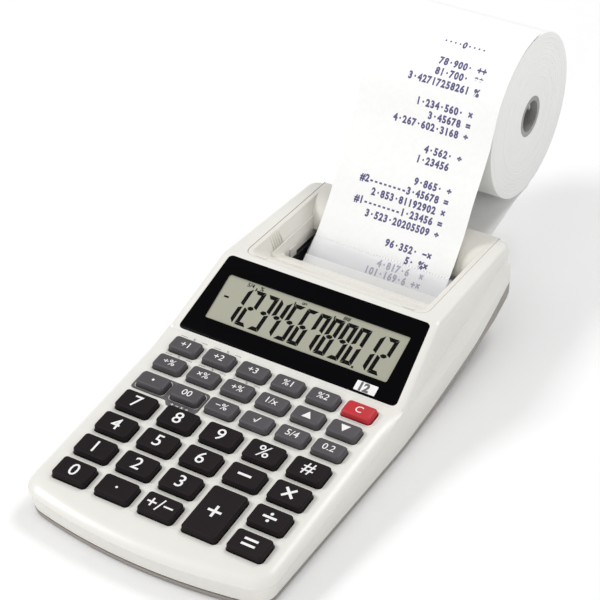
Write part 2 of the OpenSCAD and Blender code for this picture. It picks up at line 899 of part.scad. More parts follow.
// Middle line of the paper, as [y, z]: roll, rear slot, round the feed roller, out past the cutter,
// up against the front of the roll and over its top.
wrap_r = feed_d / 2 + 0.15 + paper_t / 2;
hug_r = roll_d / 2 + wrap_gap + paper_t / 2;
function round_feed(a) = [feed_y + wrap_r * cos(a), feed_z + wrap_r * sin(a)];
function round_roll(a) = [roll_y + hug_r * cos(a), roll_z + hug_r * sin(a)];
PATH = concat(
    [[roll_y + 4, roll_z - hug_r + 0.24], [roll_y - 5, roll_z - hug_r + 0.1], [212, 28.3], [slot_y, slot_z], [176, 20]],
    [for (a = [-38:-17.6:-215]) round_feed(a)],
    [[170, 30.2], [178, 38.9], [185.2, 51]],
    [for (a = [167:-15:92]) round_roll(a)],
    [[236, 99.85]]
);

// Unit vector square to the path at its point i.
function path_normal(i) =
    let (d = PATH[min(i + 1, len(PATH) - 1)] - PATH[max(i - 1, 0)])
    [-d[1], d[0]] / norm(d);

module paper_web() {
    last = len(PATH) - 1;
    color("#f7f6f2") place() across(paper_w) polygon(concat(
        [for (i = [0:last]) PATH[i] + path_normal(i) * paper_t / 2],
        [for (i = [last:-1:0]) PATH[i] - path_normal(i) * paper_t / 2]
    ));
}

// ---------- keys ----------

function key_color(kind) = kind == 0 ? "#2b2528" : kind == 1 ? "#4c484c" : "#c8323a";

// One key: bevelled cap, retaining flange and the stem that presses the sheet.
module key(k) {
    box = k[1];
    bevel = 0.9;
    under = -wall - 0.1;
    color(key_color(k[2])) place() on_keyboard() translate([box[0], box[1], 0]) {
        translate([0, 0, under - flange_t + 0.2]) linear_extrude(key_h - bevel - under + flange_t - 0.2)
            rounded_rect(box[2], box[3], key_corner);
        hull() {
            translate([0, 0, shank_top - 1]) linear_extrude(key_h - bevel - shank_top + 1)
                rounded_rect(box[2], box[3], key_corner);
            translate([0, 0, key_h - eps]) linear_extrude(eps)
                rounded_rect(box[2] - 2 * bevel, box[3] - 2 * bevel, key_corner - 0.3);
        }
        translate([0, 0, under - flange_t]) linear_extrude(flange_t)
            rounded_rect(box[2] + 2 * flange, box[3] + 2 * flange, 0.8);
        translate([0, 0, under - flange_t - stem_len]) cylinder(h = stem_len + 0.5, r = stem_d / 2);
    }
}

upper_housing();
lower_housing();
printer_cover();
paper_cutter();
display_window();
lcd_panel();
main_board();
key_sheet();
case_screws();
rubber_feet();
battery_cover();
batteries();
battery_contacts();
printer_frame();
print_carriage();
type_wheel();
ink_roller();
feed_roller();
printer_motor();
paper_arm();
paper_roll();
paper_core();
paper_web();
for (k = KEYS) key(k);
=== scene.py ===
"""The looks of a printing desk calculator: shell, keys, display, tear bar, paper strip and roll."""
import json
import math
import random

import bmesh
import bpy
import numpy as np
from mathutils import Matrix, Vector
from mathutils.geometry import tessellate_polygon

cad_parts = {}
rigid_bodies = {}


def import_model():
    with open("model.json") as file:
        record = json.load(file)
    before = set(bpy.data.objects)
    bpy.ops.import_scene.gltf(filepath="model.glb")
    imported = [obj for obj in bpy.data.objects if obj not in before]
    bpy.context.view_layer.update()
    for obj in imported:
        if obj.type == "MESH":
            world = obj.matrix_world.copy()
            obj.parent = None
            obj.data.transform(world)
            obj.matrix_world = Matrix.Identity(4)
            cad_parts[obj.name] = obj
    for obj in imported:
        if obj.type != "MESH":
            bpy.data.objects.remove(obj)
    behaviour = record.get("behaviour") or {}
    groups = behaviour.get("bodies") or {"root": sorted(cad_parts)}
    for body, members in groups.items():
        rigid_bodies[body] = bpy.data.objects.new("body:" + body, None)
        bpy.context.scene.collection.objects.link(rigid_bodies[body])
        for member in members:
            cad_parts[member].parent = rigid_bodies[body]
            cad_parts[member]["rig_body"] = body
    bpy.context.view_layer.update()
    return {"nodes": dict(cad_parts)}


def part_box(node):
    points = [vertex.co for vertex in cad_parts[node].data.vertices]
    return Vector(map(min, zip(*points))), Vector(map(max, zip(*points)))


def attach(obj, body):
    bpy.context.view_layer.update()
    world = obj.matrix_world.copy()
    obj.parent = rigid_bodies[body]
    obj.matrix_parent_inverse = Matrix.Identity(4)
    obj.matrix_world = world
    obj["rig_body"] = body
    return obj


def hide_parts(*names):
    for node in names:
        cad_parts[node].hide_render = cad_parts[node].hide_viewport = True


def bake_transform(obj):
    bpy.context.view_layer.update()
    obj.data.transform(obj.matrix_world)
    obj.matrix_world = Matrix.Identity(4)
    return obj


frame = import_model()
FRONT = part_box("upper_housing")[0].y
random.seed(7)

# Main sizes in millimetres: x from the middle, y from the front lip, z from the desk.
HALF_W = 49.5
HALF_REAR = 46.5
BODY_D = 191.0
TAPER_Y = 100.0
BOW_R = 205.0
CORNER_R = 9.0
LIP_H = 11.9
KEY_SLOPE = math.radians(6)
DISPLAY_Y = 95.8
DISPLAY_SLOPE = math.radians(25.3)
DISPLAY_LEN = 36.2
DECK_FALL = math.radians(1.5)
EDGE_R = 2.4
ROLL_OVER = 5.5
GROOVE = 0.45
SWEEP_R = 236.0
ROLL_Y, ROLL_Z, ROLL_D, CORE_D = 232.0, 65.3, 66.6, 16.5


# ---------------------------------------------------------------- small geometry tools

def at(x, y, z):
    """A point given in millimetres from the front lip, in the row frame in metres."""
    return Vector((x / 1000, y / 1000 + FRONT, z / 1000))


def smoothstep(a, b, t):
    s = min(1.0, max(0.0, (t - a) / (b - a)))
    return s * s * (3 - 2 * s)


def key_z(y):
    """Height of the keyboard surface."""
    return LIP_H + y * math.tan(KEY_SLOPE)


DECK_Y = DISPLAY_Y + DISPLAY_LEN * math.cos(DISPLAY_SLOPE)
DECK_Z = key_z(DISPLAY_Y) + DISPLAY_LEN * math.sin(DISPLAY_SLOPE)


def deck_z(y):
    """Height of the printer deck."""
    return DECK_Z - (y - DECK_Y) * math.tan(DECK_FALL)


def slope_z(y):
    """Height of the display's plane."""
    return key_z(DISPLAY_Y) + (y - DISPLAY_Y) * math.tan(DISPLAY_SLOPE)


def block_top(y, blend=1.3):
    """Height of the raised block: display slope, softly rounded into the deck."""
    low, high = slope_z(y), deck_z(y)
    t = (y - DECK_Y) / blend
    if t <= -1:
        return low
    if t >= 1:
        return high
    bend = (math.tan(DISPLAY_SLOPE) + math.tan(DECK_FALL)) * blend * (1 - abs(t)) ** 2 / 4
    return min(low, high) - bend


def arc_z(z0, y0, y):
    """A level line that leaves on an arc at y0."""
    if y < y0:
        return z0
    return z0 + SWEEP_R - math.sqrt(SWEEP_R ** 2 - (y - y0) ** 2)


def parting_z(y):
    return arc_z(2.4, 88, y)


def table(points, y):
    """Linear interpolation in a short list of (y, value)."""
    return float(np.interp(y, [p[0] for p in points], [p[1] for p in points]))


def rounded_path(corners, steps=8):
    """A closed outline through corners given as (x, y, radius), in order."""
    out = []
    n = len(corners)
    for i, (x, y, r) in enumerate(corners):
        p = Vector((x, y))
        if r <= 0:
            out.append((x, y))
            continue
        before = (Vector(corners[i - 1][:2]) - p).normalized()
        after = (Vector(corners[(i + 1) % n][:2]) - p).normalized()
        half = before.angle(after) / 2
        reach = r / math.tan(half)
        centre = p + (before + after).normalized() * (r / math.sin(half))
        start, end = p + before * reach - centre, p + after * reach - centre
        turn = start.angle_signed(end)
        for k in range(steps + 1):
            a = -turn * k / steps
            c, s = math.cos(a), math.sin(a)
            out.append((centre.x + start.x * c - start.y * s, centre.y + start.x * s + start.y * c))
    return out


def inset(path, d, closed=True):
    """The outline moved inwards by d (the outline runs anticlockwise)."""
    n = len(path)
    out = []
    for i, p in enumerate(path):
        a = path[i - 1] if closed or i > 0 else p
        b = path[(i + 1) % n] if closed or i < n - 1 else p
        e1 = Vector((p[0] - a[0], p[1] - a[1]))
        e2 = Vector((b[0] - p[0], b[1] - p[1]))
        e1 = e1.normalized() if e1.length > 1e-9 else e2.normalized()
        e2 = e2.normalized() if e2.length > 1e-9 else e1
        n1, n2 = Vector((-e1.y, e1.x)), Vector((-e2.y, e2.x))
        m = (n1 + n2).normalized()
        m /= max(0.4, m.dot(n1))
        out.append((p[0] + m.x * d, p[1] + m.y * d))
    return out


def densify(path, longest=4.0):
    """Adds points so that no side of a closed outline is longer than this."""
    out = []
    for i, p in enumerate(path):
        q = path[(i + 1) % len(path)]
        k = max(1, math.ceil(math.dist(p, q) / longest))
        out += [(p[0] + (q[0] - p[0]) * j / k, p[1] + (q[1] - p[1]) * j / k) for j in range(k)]
    return out


def rect(w, d, r, steps=6):
    """A rounded rectangle about the origin, anticlockwise."""
    x, y = w / 2, d / 2
    return rounded_path([(-x, -y, r), (x, -y, r), (x, y, r), (-x, y, r)], steps)


class Shape:
    """Collects points and faces in millimetres, each face with a material number."""

    def __init__(self):
        self.points = []
        self.faces = []
        self.slots = []

    def add(self, points, faces, slot=0):
        base = len(self.points)
        self.points += [tuple(p) for p in points]
        self.faces += [[base + i for i in f] for f in faces]
        self.slots += [slot] * len(faces)

    def loft(self, rings, closed=True, slot=0, keep=lambda i, j: True, cap=False):
        """Skins rings that all hold the same number of points."""
        n = len(rings[0])
        points = [p for ring in rings for p in ring]
        span = n if closed else n - 1
        faces = [
            [i * n + j, i * n + (j + 1) % n, (i + 1) * n + (j + 1) % n, (i + 1) * n + j]
            for i in range(len(rings) - 1) for j in range(span) if keep(i, j)
        ]
        if cap:
            faces.append([(len(rings) - 1) * n + j for j in range(n)])
        self.add(points, faces, slot)

    def sheet(self, loops, lift, slot=0):
        """Fills a flat outline and its holes, given as (a, b) loops; lift turns (a, b) into a point."""
        flat = [Vector((p[0], p[1], 0)) for loop in loops for p in loop]
        triangles = tessellate_polygon([[Vector((p[0], p[1], 0)) for p in loop] for loop in loops])
        self.add([lift(p.x, p.y) for p in flat], [list(t) for t in triangles], slot)

    def build(self, name, materials, body, replaces=(), sharp=32, bevel=0.0):
        mesh = bpy.data.meshes.new(name)
        mesh.from_pydata([at(*p) for p in self.points], [], self.faces)
        for material in materials:
            mesh.materials.append(material)
        mesh.polygons.foreach_set("material_index", self.slots)
        bm = bmesh.new()
        bm.from_mesh(mesh)
        bmesh.ops.remove_doubles(bm, verts=bm.verts, dist=2e-6)
        bmesh.ops.recalc_face_normals(bm, faces=bm.faces)
        bm.to_mesh(mesh)
        bm.free()
        return finish_piece(name, mesh, body, replaces, sharp, bevel)


def finish_piece(name, mesh, body, replaces, sharp, bevel):
    """Links a mesh, rounds its edges, shades it and lets it ride on its body."""
    mesh.shade_smooth()
    mesh.set_sharp_from_angle(angle=math.radians(sharp))
    obj = bpy.data.objects.new(name, mesh)
    bpy.context.scene.collection.objects.link(obj)
    if bevel:
        mod = obj.modifiers.new("edges", "BEVEL")
        mod.width = bevel / 1000
        mod.segments = 2
        mod.limit_method = "ANGLE"
        mod.angle_limit = math.radians(30)
        mod.harden_normals = True
    if body:
        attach(obj, body)
    if replaces:
        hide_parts(*replaces)
    return obj


def refined(node, material, body, bevel=0.2):
    """A smoothly shaded copy of a CAD node with softened edges, standing for the node."""
    mesh = frame["nodes"][node].data.copy()
    mesh.materials.clear()
    mesh.materials.append(material)
    bm = bmesh.new()
    bm.from_mesh(mesh)
    bmesh.ops.remove_doubles(bm, verts=bm.verts, dist=3e-6)
    bmesh.ops.dissolve_limit(bm, angle_limit=math.radians(0.6), verts=bm.verts, edges=bm.edges)
    bm.to_mesh(mesh)
    bm.free()
    return finish_piece(node + "_look", mesh, body, [node], 28, bevel)


def lettering(text, size, weight=0.0, aspect=1.0, on_line=False):
    """Flat letters as (points, faces): capitals of that size, centred, or standing on their line."""
    curve = bpy.data.curves.new("letters", "FONT")
    curve.body = text
    curve.size = 1.0
    curve.align_x = "CENTER"
    curve.align_y = "TOP_BASELINE"
    curve.offset = weight
    curve.resolution_u = 3
    obj = bpy.data.objects.new("letters", curve)
    bpy.context.scene.collection.objects.link(obj)
    depsgraph = bpy.context.evaluated_depsgraph_get()
    mesh = bpy.data.meshes.new_from_object(obj.evaluated_get(depsgraph))
    points = [(v.co.x, v.co.y) for v in mesh.vertices]
    faces = [list(p.vertices) for p in mesh.polygons]
    bpy.data.objects.remove(obj)
    bpy.data.curves.remove(curve)
    bpy.data.meshes.remove(mesh)
    xs = [p[0] for p in points] or [0]
    ys = [p[1] for p in points] or [0]
    cx = (min(xs) + max(xs)) / 2
    cy = 0.35 if on_line else (min(ys) + max(ys)) / 2
    scale = size / 0.72
    return [((x - cx) * scale * aspect, (y - cy) * scale) for x, y in points], faces


# ---------------------------------------------------------------- materials

class Look:
    """A procedural material around one Principled shader."""

    def __init__(self, name, color, roughness, **sockets):
        self.mat = bpy.data.materials.new(name)
        self.mat.use_nodes = True
        self.nodes = self.mat.node_tree.nodes
        self.links = self.mat.node_tree.links
        self.shader = self.nodes["Principled BSDF"]
        self.color = (*color, 1.0)
        self.shader.inputs["Base Color"].default_value = self.color
        self.shader.inputs["Roughness"].default_value = roughness
        self.mat.diffuse_color = self.color
        for socket, value in sockets.items():
            self.shader.inputs[socket.replace("_", " ")].default_value = value
        self.place = self.nodes.new("ShaderNodeTexCoord").outputs["Object"]
        self.height = None

    def node(self, kind, **inputs):
        made = self.nodes.new(kind)
        for name, value in inputs.items():
            socket = made.inputs[name.replace("_", " ")]
            if hasattr(value, "is_output"):
                self.links.new(value, socket)
            else:
                socket.default_value = value
        return made

    def stretched(self, x, y, z, shift=(0, 0, 0)):
        mapping = self.node("ShaderNodeMapping", Vector=self.place)
        mapping.inputs["Scale"].default_value = (x, y, z)
        mapping.inputs["Location"].default_value = shift
        return mapping.outputs["Vector"]

    def noise(self, scale, detail=3.0, rough=0.55, vector=None):
        made = self.node("ShaderNodeTexNoise", Vector=vector or self.place)
        made.inputs["Scale"].default_value = scale
        made.inputs["Detail"].default_value = detail
        made.inputs["Roughness"].default_value = rough
        return made.outputs["Fac"]

    def wave(self, scale, kind="BANDS", direction="X", distortion=0.0, vector=None):
        made = self.node("ShaderNodeTexWave", Vector=vector or self.place)
        made.wave_type = kind
        setattr(made, "bands_direction" if kind == "BANDS" else "rings_direction", direction)
        made.inputs["Scale"].default_value = scale
        made.inputs["Distortion"].default_value = distortion
        return made.outputs["Fac"]

    def ramp(self, value, stops):
        made = self.node("ShaderNodeValToRGB", Fac=value)
        ramp = made.color_ramp
        while len(ramp.elements) < len(stops):
            ramp.elements.new(0.5)
        for element, (place, color) in zip(ramp.elements, stops):
            element.position = place
            element.color = color if len(color) == 4 else (*color, 1.0)
        return made.outputs["Color"]

    def vary_color(self, value, other, low=0.35, high=0.7):
        """Lets the base colour drift towards another one with a pattern."""
        drift = self.ramp(value, [(low, self.color), (high, other)])
        self.links.new(drift, self.shader.inputs["Base Color"])

    def vary_roughness(self, value, low, high):
        made = self.node("ShaderNodeMapRange", Value=value)
        made.inputs["To Min"].default_value = low
        made.inputs["To Max"].default_value = high
        self.links.new(made.outputs["Result"], self.shader.inputs["Roughness"])

    def bump(self, value, strength, depth_mm):
        """Adds a relief; several calls stack up."""
        made = self.node("ShaderNodeBump", Height=value)
        made.inputs["Strength"].default_value = strength
        made.inputs["Distance"].default_value = depth_mm / 1000
        if self.height:
            self.links.new(self.height, made.inputs["Normal"])
        self.height = made.outputs["Normal"]
        self.links.new(self.height, self.shader.inputs["Normal"])


M = {}


def look_for(key, name, color, roughness, **sockets):
    """A new material, kept in M under a short key."""
    M[key] = Look(name, color, roughness, **sockets)
    return M[key]


def moulded(key, name, color, roughness, grain_mm=0.25, relief=0.02, tint=0.93, **sockets):
    """Injection-moulded plastic: fine spark-eroded grain, faint flow marks and handling wear."""
    look = look_for(key, name, color, roughness, **sockets)
    grain = look.noise(1000 / grain_mm, 2.0)
    flow = look.noise(22, 3.0, 0.6)
    look.vary_color(flow, tuple(c * tint for c in color))
    look.vary_roughness(look.noise(60, 4.0), roughness - 0.06, roughness + 0.08)
    look.bump(grain, 0.35, relief)
    look.bump(look.noise(14, 2.0), 0.12, 0.12)


def make_plastics():
    """Housing, cover, keys, arm and mechanism."""
    moulded("cream", "pearl_cream_plastic", (0.745, 0.73, 0.685), 0.4, relief=0.012, tint=0.97,
            Coat_Weight=0.35, Coat_Roughness=0.22)
    moulded("grey", "grey_beige_plastic", (0.30, 0.27, 0.245), 0.5, relief=0.02)
    moulded("cover", "cover_cream_plastic", (0.725, 0.705, 0.65), 0.4, relief=0.012, tint=0.97)
    moulded("dark_key", "dark_key_plastic", (0.010, 0.007, 0.008), 0.55, relief=0.03, tint=1.35,
            Specular_IOR_Level=0.12)
    moulded("grey_key", "grey_key_plastic", (0.062, 0.056, 0.062), 0.5, relief=0.03, tint=1.2,
            Specular_IOR_Level=0.35)
    moulded("red_key", "red_key_plastic", (0.50, 0.022, 0.03), 0.45, relief=0.03,
            Specular_IOR_Level=0.35)
    moulded("arm", "arm_grey_plastic", (0.6, 0.585, 0.55), 0.4)
    moulded("mechanism", "black_nylon", (0.03, 0.03, 0.034), 0.5, relief=0.03, tint=1.4)
    moulded("type", "type_wheel_plastic", (0.6, 0.56, 0.45), 0.5)


def make_inks():
    """Legends and the prints on the keyboard plate."""
    ink = look_for("white_ink", "legend_ink_white", (0.83, 0.83, 0.82), 0.55)
    ink.vary_color(ink.noise(900, 2.0), (0.74, 0.74, 0.73))
    ink = look_for("grey_ink", "legend_ink_grey", (0.10, 0.095, 0.1), 0.6)
    ink.vary_color(ink.noise(700, 2.0), (0.14, 0.13, 0.135))
    ink = look_for("patch_ink", "patch_ink_grey", (0.085, 0.08, 0.084), 0.6)
    ink.vary_color(ink.noise(500, 3.0), (0.11, 0.105, 0.108))


def make_clear_and_glass():
    """Tear bar, window and liquid crystal panel."""
    clear = look_for("clear", "clear_tear_bar", (0.83, 0.83, 0.87), 0.12, Alpha=0.24)
    clear.vary_roughness(clear.noise(300, 3.0, 0.6, clear.stretched(0.2, 1, 1)), 0.08, 0.2)
    clear.bump(clear.noise(160, 2.0), 0.1, 0.05)
    frosted = look_for("frosted", "frosted_flange", (0.74, 0.74, 0.725), 0.4, Alpha=0.85)
    frosted.vary_roughness(frosted.noise(240, 3.0), 0.24, 0.4)
    frosted.bump(frosted.noise(400, 2.0), 0.1, 0.03)
    window = look_for("window", "black_window", (0.002, 0.002, 0.0025), 0.12, Specular_IOR_Level=0.03)
    window.vary_roughness(window.noise(35, 4.0, 0.65), 0.1, 0.2)
    window.bump(window.noise(18, 2.0), 0.05, 0.05)
    lcd = look_for("lcd", "lcd_glass", (0.40, 0.395, 0.315), 0.3)
    lcd.vary_color(lcd.noise(14, 2.0), (0.37, 0.365, 0.29))
    lcd.bump(lcd.noise(4000, 1.0), 0.2, 0.004)
    digits = look_for("segments", "lcd_segments", (0.002, 0.0015, 0.0018), 0.6, Specular_IOR_Level=0.04)
    digits.vary_color(digits.noise(300, 2.0), (0.004, 0.003, 0.0035))


def make_papers():
    """The printed strip."""
    paper = look_for("paper", "tally_paper", (0.93, 0.93, 0.92), 0.7)
    paper.vary_color(paper.noise(450, 5.0, 0.7), (0.90, 0.90, 0.89))
    paper.bump(paper.noise(1600, 3.0), 0.2, 0.006)
    paper.bump(paper.noise(40, 2.0), 0.1, 0.08)
    print_ink = look_for("print", "printed_ink", (0.05, 0.045, 0.16), 0.7)
    print_ink.vary_color(print_ink.noise(2600, 3.0), (0.16, 0.15, 0.3))


def make_inner_parts():
    """Rubber, metal, board, cells, felt and what the roll is made of."""
    rubber = look_for("rubber", "black_rubber", (0.018, 0.018, 0.019), 0.75)
    rubber.vary_color(rubber.noise(300, 3.0), (0.03, 0.03, 0.031))
    rubber.bump(rubber.noise(2500, 2.0), 0.3, 0.02)
    steel = look_for("steel", "plated_steel", (0.55, 0.55, 0.54), 0.3, Metallic=1.0)
    steel.vary_roughness(steel.noise(700, 3.0, 0.6, steel.stretched(8, 1, 1)), 0.22, 0.42)
    board = look_for("board", "circuit_board", (0.02, 0.10, 0.04), 0.35)
    board.vary_color(board.wave(350, "BANDS", "X", 6.0), (0.05, 0.2, 0.08), 0.6, 0.75)
    board.bump(board.noise(1200, 2.0), 0.3, 0.02)
    sheet = look_for("sheet", "silicone_sheet", (0.55, 0.55, 0.52), 0.6, Subsurface_Weight=0.1)
    sheet.vary_color(sheet.noise(120, 3.0), (0.48, 0.48, 0.45))
    felt = look_for("felt", "ink_felt", (0.015, 0.014, 0.07), 0.9)
    felt.vary_color(felt.noise(3000, 4.0), (0.05, 0.045, 0.16))
    felt.bump(felt.noise(3500, 4.0), 0.6, 0.08)
    card = look_for("card", "core_card", (0.34, 0.335, 0.33), 0.6)
    card.vary_color(card.noise(500, 4.0), (0.27, 0.265, 0.26))
    card.bump(card.noise(900, 3.0), 0.3, 0.05)
    roll = look_for("roll", "wound_paper", (0.87, 0.87, 0.855), 0.75)
    centre = at(0, ROLL_Y, ROLL_Z)
    rings = roll.wave(520, "RINGS", "X", 0.3, roll.stretched(1, 1, 1, (0, -centre.y, -centre.z)))
    roll.vary_color(rings, (0.79, 0.79, 0.78), 0.45, 0.9)
    roll.bump(rings, 0.3, 0.04)
    roll.bump(roll.noise(60, 3.0), 0.15, 0.1)
    pane = look_for("pane", "clear_pane", (0.05, 0.06, 0.05), 0.06, Alpha=0.05)
    pane.vary_roughness(pane.noise(45, 3.0), 0.04, 0.12)
    jacket = look_for("jacket", "cell_jacket", (0.45, 0.25, 0.05), 0.3, Metallic=0.6)
    jacket.vary_color(jacket.wave(60, "BANDS", "Y"), (0.02, 0.02, 0.02), 0.3, 0.35)


def mats(*names):
    return [M[n].mat for n in names]


# ---------------------------------------------------------------- upper housing

def body_outline():
    """Outline of the low body seen from above, anticlockwise from the left end of the bowed front."""
    bow = math.asin(HALF_W / BOW_R)
    front = [(BOW_R * math.sin(a), BOW_R * (1 - math.cos(a)), 0) for a in
             [bow * k / 10 for k in range(-8, 9)]]
    corner_y = BOW_R * (1 - math.cos(bow))
    path = [(-HALF_W, corner_y, CORNER_R), *front, (HALF_W, corner_y, CORNER_R), (HALF_W, TAPER_Y, 60),
            (HALF_REAR, BODY_D, CORNER_R), (-HALF_REAR, BODY_D, CORNER_R), (-HALF_W, TAPER_Y, 60)]
    return densify(rounded_path(path, 10))


# Profiles along the sides, as (y, value): where the side turns over, and the foot of the raised block.
SHOULDER = [(88, 18.7), (97, 17.6), (104, 17.3), (117, 17.3)]
FOOT = [(95.8, 21.97), (98.5, 21.5), (105, 20.7), (118, 20.7), (134, 21.8), (149, 24.2), (165, 28.2),
        (181, 33.6), (191, 35.6)]
LEDGE_W = [(97.5, 0.5), (131, 3.0), (191, 2.9)]
BLOCK_R = 5.0
DRAFT, DRAFT_H = 2.4, 13.0


def lip_z(y):
    """Height of the line where the side wall turns over into the top."""
    front = key_z(y) - EDGE_R
    rear = table(SHOULDER, y) if y < 117 else arc_z(17.3, 117, y)
    s = smoothstep(84, 96, y)
    return front * (1 - s) + rear * s


def shoulder_z(d, y):
    """Height of the top at y, d inwards from the outline: a rounded edge in front, a ledge behind."""
    front = key_z(y) - EDGE_R * (1 - min(1.0, d / ROLL_OVER)) ** 2.4
    t = min(1.0, d / table(LEDGE_W, y))
    foot = min(table(FOOT, y), key_z(y))
    rear = lip_z(y) + (foot - lip_z(y)) * (0.35 * math.sin(t * math.pi / 2) + 0.65 * t)
    s = smoothstep(84, 98, y)
    return front * (1 - s) + rear * s


def draft(z):
    """How far the side wall leans in at a height below the draft's top."""
    return DRAFT * max(0.0, DRAFT_H - z) / DRAFT_H


def keyboard(x, u, w=0.0):
    """A point of the keyboard's own frame: u runs up the slope and w stands on it."""
    c, s = math.cos(KEY_SLOPE), math.sin(KEY_SLOPE)
    return (x, u * c - w * s, LIP_H + u * s + w * c)


def on_display(x, v, w=0.0):
    """A point of the display's own frame: v runs up its slope and w stands on it."""
    c, s = math.cos(DISPLAY_SLOPE), math.sin(DISPLAY_SLOPE)
    return (x, DISPLAY_Y + v * c - w * s, key_z(DISPLAY_Y) + v * s + w * c)


# The key fields: column and row pitch, cap width and depth, and where each field starts up the slope.
BIG_PX, BIG_PY, BIG_W, BIG_D = 17.5, 12.4, 13.6, 9.0
SMALL_PX, SMALL_PY, SMALL_W, SMALL_D = 14.4, 10.4, 11.6, 6.8
KEYS_U = 13.7
SMALL_U = KEYS_U + 50.2
FIELD_LEFT = -(4 * BIG_PX + BIG_W) / 2
KEY_GAP = 0.3
KEY_H = 2.4

# The two key fields row by row from the front: node names and legends, "-" where a field has no key.
BIG_ROWS = [
    ("0 point sign_change - equals", "0 . +/− - ="),
    ("1 2 3 - divide", "1 2 3 - ÷"),
    ("4 5 6 subtract multiply", "4 5 6 − ×"),
    ("7 8 9 percent item", "7 8 9 % #"),
]
SMALL_ROWS = [
    ("mode start time wave rounding decimals", "• 00 −% √ 5/4 0.2"),
    ("memory_recall memory_change memory_total exchange feed print", "÷% ×% +% 1/x ▲ ▼"),
    ("cost sell margin rate convert clear", "+1 +2 +3 %1 %2 C"),
]


def key_field(rows, start, px, py, w, d, kind):
    """The keys of one field as (node, middle x, middle u, width, depth, legend, kind)."""
    out = []
    for r, (names, legends) in enumerate(rows):
        for c, (name, legend) in enumerate(zip(names.split(), legends.split())):
            if name == "-":
                continue
            x, u = FIELD_LEFT + c * px + w / 2, start + r * py + d / 2
            out.append(("key_" + name, x, u, w, d, legend, "red" if name == "clear" else kind))
    return out


def tall_key():
    """The plus key, which takes two rows of the fourth column."""
    d = BIG_PY + BIG_D
    return ("key_add", FIELD_LEFT + 3 * BIG_PX + BIG_W / 2, KEYS_U + d / 2, BIG_W, d, "+", "big")


KEYS = key_field(BIG_ROWS, KEYS_U, BIG_PX, BIG_PY, BIG_W, BIG_D, "big")
KEYS.append(tall_key())
KEYS += key_field(SMALL_ROWS, SMALL_U, SMALL_PX, SMALL_PY, SMALL_W, SMALL_D, "small")


def shifted(path, x, y):
    return [(p[0] + x, p[1] + y) for p in path]


def keyboard_plate(shape, outline):
    """The top plate with a soft-edged opening for every key."""
    loops = [outline]
    for _, x, u, w, d, _, _ in KEYS:
        hole = [shifted(rect(w + 2 * g, d + 2 * g, 1.3 + g, 5), x, u)
                for g in (KEY_GAP + 0.25, KEY_GAP + 0.08, KEY_GAP)]
        loops.append(hole[0])
        levels = [(hole[0], 0.0), (hole[1], -0.08), (hole[2], -0.3), (hole[2], -1.8)]
        shape.loft([[keyboard(px, pu, level) for px, pu in path] for path, level in levels])
    shape.sheet(loops, keyboard)


def low_wall(path):
    """Rings of the low body: tucked in under the parting line, up the wall and over the shoulder."""
    rings = [[(x, y, parting_z(y) + GROOVE) for x, y in inset(path, 3.2)]]
    for t in (0.0, 0.12, 0.3, 0.5, 0.7, 0.85, 1.0):
        ring = []
        for i, (x, y) in enumerate(path):
            z = parting_z(y) + GROOVE + (lip_z(y) - parting_z(y) - GROOVE) * t
            ring.append((*inset(path, draft(z))[i], z) if z < DRAFT_H else (x, y, z))
        rings.append(ring)
    for d in (0.12, 0.35, 0.7, 1.15, 1.7, 2.4, 3.2, 4.2, ROLL_OVER):
        rings.append([(x, y, shoulder_z(d, y)) for x, y in inset(path, d)])
    return rings


def low_shell(shape):
    """The low body from the parting line up over the shoulder, with the keyboard plate."""
    path = body_outline()
    n = len(path)
    rear = {i for i, (x, y) in enumerate(path) if y > BODY_D - 1 and abs(x) < COVER_W}
    shape.loft(low_wall(path), keep=lambda i, j: not (i > 4 and j in rear and (j + 1) % n in rear))
    edge = [p for p in inset(path, ROLL_OVER) if p[1] < DISPLAY_Y + 1.1]
    start = edge.index(min((p for p in edge if p[0] < 0), key=lambda p: -p[1]))
    edge = edge[start:] + edge[:start]
    keyboard_plate(shape, [(x, y / math.cos(KEY_SLOPE)) for x, y in edge])


def block_outline():
    """Outline of the raised block, anticlockwise from the front right corner."""
    right = [(49.2, 94, 1), (49.2, 97.5, 30), (45.6, 131, 80), (43.8, BODY_D, BLOCK_R),
             (COVER_W + COVER_GAP, BODY_D, 0)]
    left = [(-x, y, r) for x, y, r in reversed(right)]
    return densify(rounded_path(right + left, 8), 3.0)


def raised_block(shape):
    """The block that carries the display and the printer deck; gives the edge of its flat top."""
    path = block_outline()
    floor = [(94, 14), (118, 17), (134, 18), (165, 24), (191, 27)]
    rings = [[(x, y, table(floor, y)) for x, y in path]]
    for a in (0, 10, 22, 35, 48, 62, 76, 90):
        s, c = math.sin(math.radians(a)), math.cos(math.radians(a))
        rings.append([(x, y, block_top(y) - EDGE_R * (1 - s)) for x, y in inset(path, EDGE_R * (1 - c))])
    n = len(path)
    rear = {i for i, (x, y) in enumerate(path) if y > BODY_D - 1 and abs(x) < COVER_W + COVER_GAP + 0.1}
    shape.loft(rings, keep=lambda i, j: not (j in rear and (j + 1) % n in rear))
    return inset(path, EDGE_R)


def edge_x(edge, y):
    """Half-width of the block's flat top at y."""
    right = sorted((p[1], p[0]) for p in edge if p[0] > 30 and p[1] < BODY_D - 6)
    return float(np.interp(y, [p[0] for p in right], [p[1] for p in right]))


COVER_W, COVER_Y, COVER_REAR, COVER_GAP = 38.2, 130.8, 190.6, 0.2
WINDOW_V, WINDOW_LEN, WINDOW_LOW, WINDOW_TOP = 0.4, 34.9, 45.5, 42.2
CREST = 1.3


def window_outline(d=0.0):
    """The window's rounded trapezium on the display slope, moved inwards by d."""
    top = WINDOW_V + WINDOW_LEN
    corners = [(-WINDOW_LOW, WINDOW_V, 2), (WINDOW_LOW, WINDOW_V, 2), (WINDOW_TOP, top, 2),
               (-WINDOW_TOP, top, 2)]
    return inset(rounded_path(corners, 8), d)


